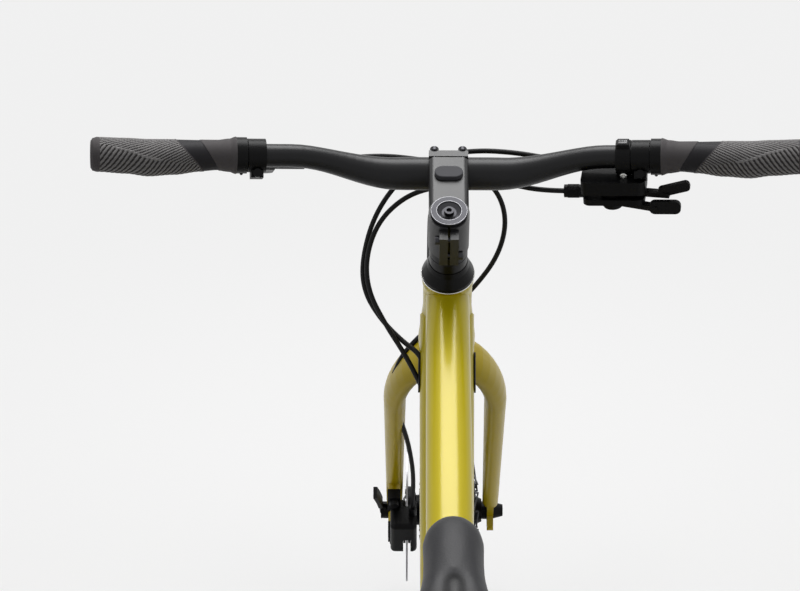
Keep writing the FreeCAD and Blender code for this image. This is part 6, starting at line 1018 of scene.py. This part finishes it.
# Bare edges and painted glints, in millimetres up the steering axis: radius, level and thickness of
# each ring. The head tube's ring is a bare metal edge. The two top cap rings are painted
# highlights, bright rings standing in for the glint on the cap's edges.

BRIGHT_RINGS = (
    ("head_edge_ring", 25.4, 491.8, 0.5, "rim_edge", "frame"),
    ("cap_outer_glint_ring", 16.8, 584.9, 0.35, "cap_glint", "steering"),
    ("cap_inner_glint_ring", 11.7, 585.1, 0.35, "cap_glint", "steering"),
)


def bright_ring(name, radius, level, thickness, finish_name, body):
    """A thin bright ring round the steering axis: a bare metal edge, or a painted highlight
    standing in for the glint on an edge.
    """
    piece = begin(name, bpy.ops.mesh.primitive_torus_add, major_segments=96, minor_segments=10,
                  major_radius=radius, minor_radius=thickness)
    placed(piece, STEERER @ Matrix.Translation((0, 0, level)))
    smooth(piece, degrees=60)
    dressed(piece, finish_name, body)


for ring in BRIGHT_RINGS:
    bright_ring(*ring)


# Floor and backdrop, in metres

FLOOR_SIZE = 24.0
FLOOR_DROP = 0.0005
FLOOR_LIT = 0.7
FLOOR_EVEN = 1.9
BLACK = (0.0, 0.0, 0.0, 1.0)
WHITE = (1.0, 1.0, 1.0, 1.0)
WORLD_LIGHT = 0.26
WORLD_SEEN = 0.86


def floor_finish():
    """Pale paper: lit by the lamps round the bike, an even pale backdrop further away."""
    finish = Finish("pale_floor", specular_ior_level=0.1, emission_strength=1.0)
    tone = finish.noise(scale=1.5, detail=2.0)
    paper = finish.blend(tone, linear(242, 242, 242), linear(243, 243, 243))
    reach = finish.node("ShaderNodeVectorMath", {"operation": "LENGTH"},
                        {0: finish.place}, "Value")
    far = reach.between(FLOOR_LIT, FLOOR_EVEN)
    finish.feed("Base Color", finish.blend(far, paper, BLACK))
    finish.feed("Emission Color", finish.blend(far * finish.seen(), BLACK, linear(239, 239, 239)))
    finish.feed("Roughness", 0.85 + 0.05 * tone)
    return finish.material


floor = begin("floor", bpy.ops.mesh.primitive_plane_add, size=FLOOR_SIZE,
              location=(0, 0, -FLOOR_DROP))
settled(floor)
floor.data.materials.append(floor_finish())

world = bpy.data.worlds.new("studio")
bpy.context.scene.world = world
world.use_nodes = True
studio = Nodes(world.node_tree)
strength = studio.node("ShaderNodeMapRange", {},
                       {"Value": studio.seen(), "To Min": WORLD_LIGHT, "To Max": WORLD_SEEN})
backdrop = studio.tree.nodes["Background"]
backdrop.inputs["Color"].default_value = WHITE
studio.tree.links.new(strength.socket, backdrop.inputs["Strength"])


# Lamps: place, aim, width, height and power

LAMPS = (
    ("overhead", (0.0, 0.0, 4.2), (0.0, 0.0, 0.5), 3.6, 3.6, 14.0),
    ("front_key", (2.3, 0.0, 3.7), (0.2, 0.0, 0.8), 2.1, 2.4, 122.0),
    ("left_fill", (-0.6, 3.6, 1.8), (0.2, 0.0, 0.6), 2.4, 2.0, 14.0),
    ("right_fill", (-0.6, -3.6, 1.8), (0.2, 0.0, 0.6), 2.4, 2.0, 14.0),
)


def softbox(name, place, aim, width, height, power):
    """A soft rectangular studio lamp."""
    lamp = bpy.data.lights.new(name, "AREA")
    lamp.shape = "RECTANGLE"
    lamp.size = width
    lamp.size_y = height
    lamp.energy = power
    holder = bpy.data.objects.new(name, lamp)
    bpy.context.scene.collection.objects.link(holder)
    holder.location = place
    holder.rotation_euler = (Vector(aim) - Vector(place)).to_track_quat("-Z", "Y").to_euler()


for lamp_row in LAMPS:
    softbox(*lamp_row)


# Camera, placed from the middle of the bar clamp

BAR_CLAMP = Vector((0.37107, 0.0, 0.87332))
CAMERA_OFFSET = Vector((-2.095, 0.0317, 1.187))
PITCH = math.radians(32.32)
YAW = math.radians(0.4)
FOCAL_PIXELS = 2506.0
PICTURE_WIDTH = 800.0
SENSOR_WIDTH = 36.0

lens_data = bpy.data.cameras.new("photo_camera")
lens_data.sensor_fit = "HORIZONTAL"
lens_data.sensor_width = SENSOR_WIDTH
lens_data.lens = FOCAL_PIXELS / PICTURE_WIDTH * SENSOR_WIDTH
lens_data.clip_start = 0.05
lens_data.clip_end = 60.0
camera = bpy.data.objects.new("photo_camera", lens_data)
bpy.context.scene.collection.objects.link(camera)
camera.location = BAR_CLAMP + CAMERA_OFFSET
camera.rotation_euler = (math.pi / 2 - PITCH, 0.0, -math.pi / 2 + YAW)
bpy.context.scene.camera = camera

bpy.context.scene.view_settings.view_transform = "Standard"
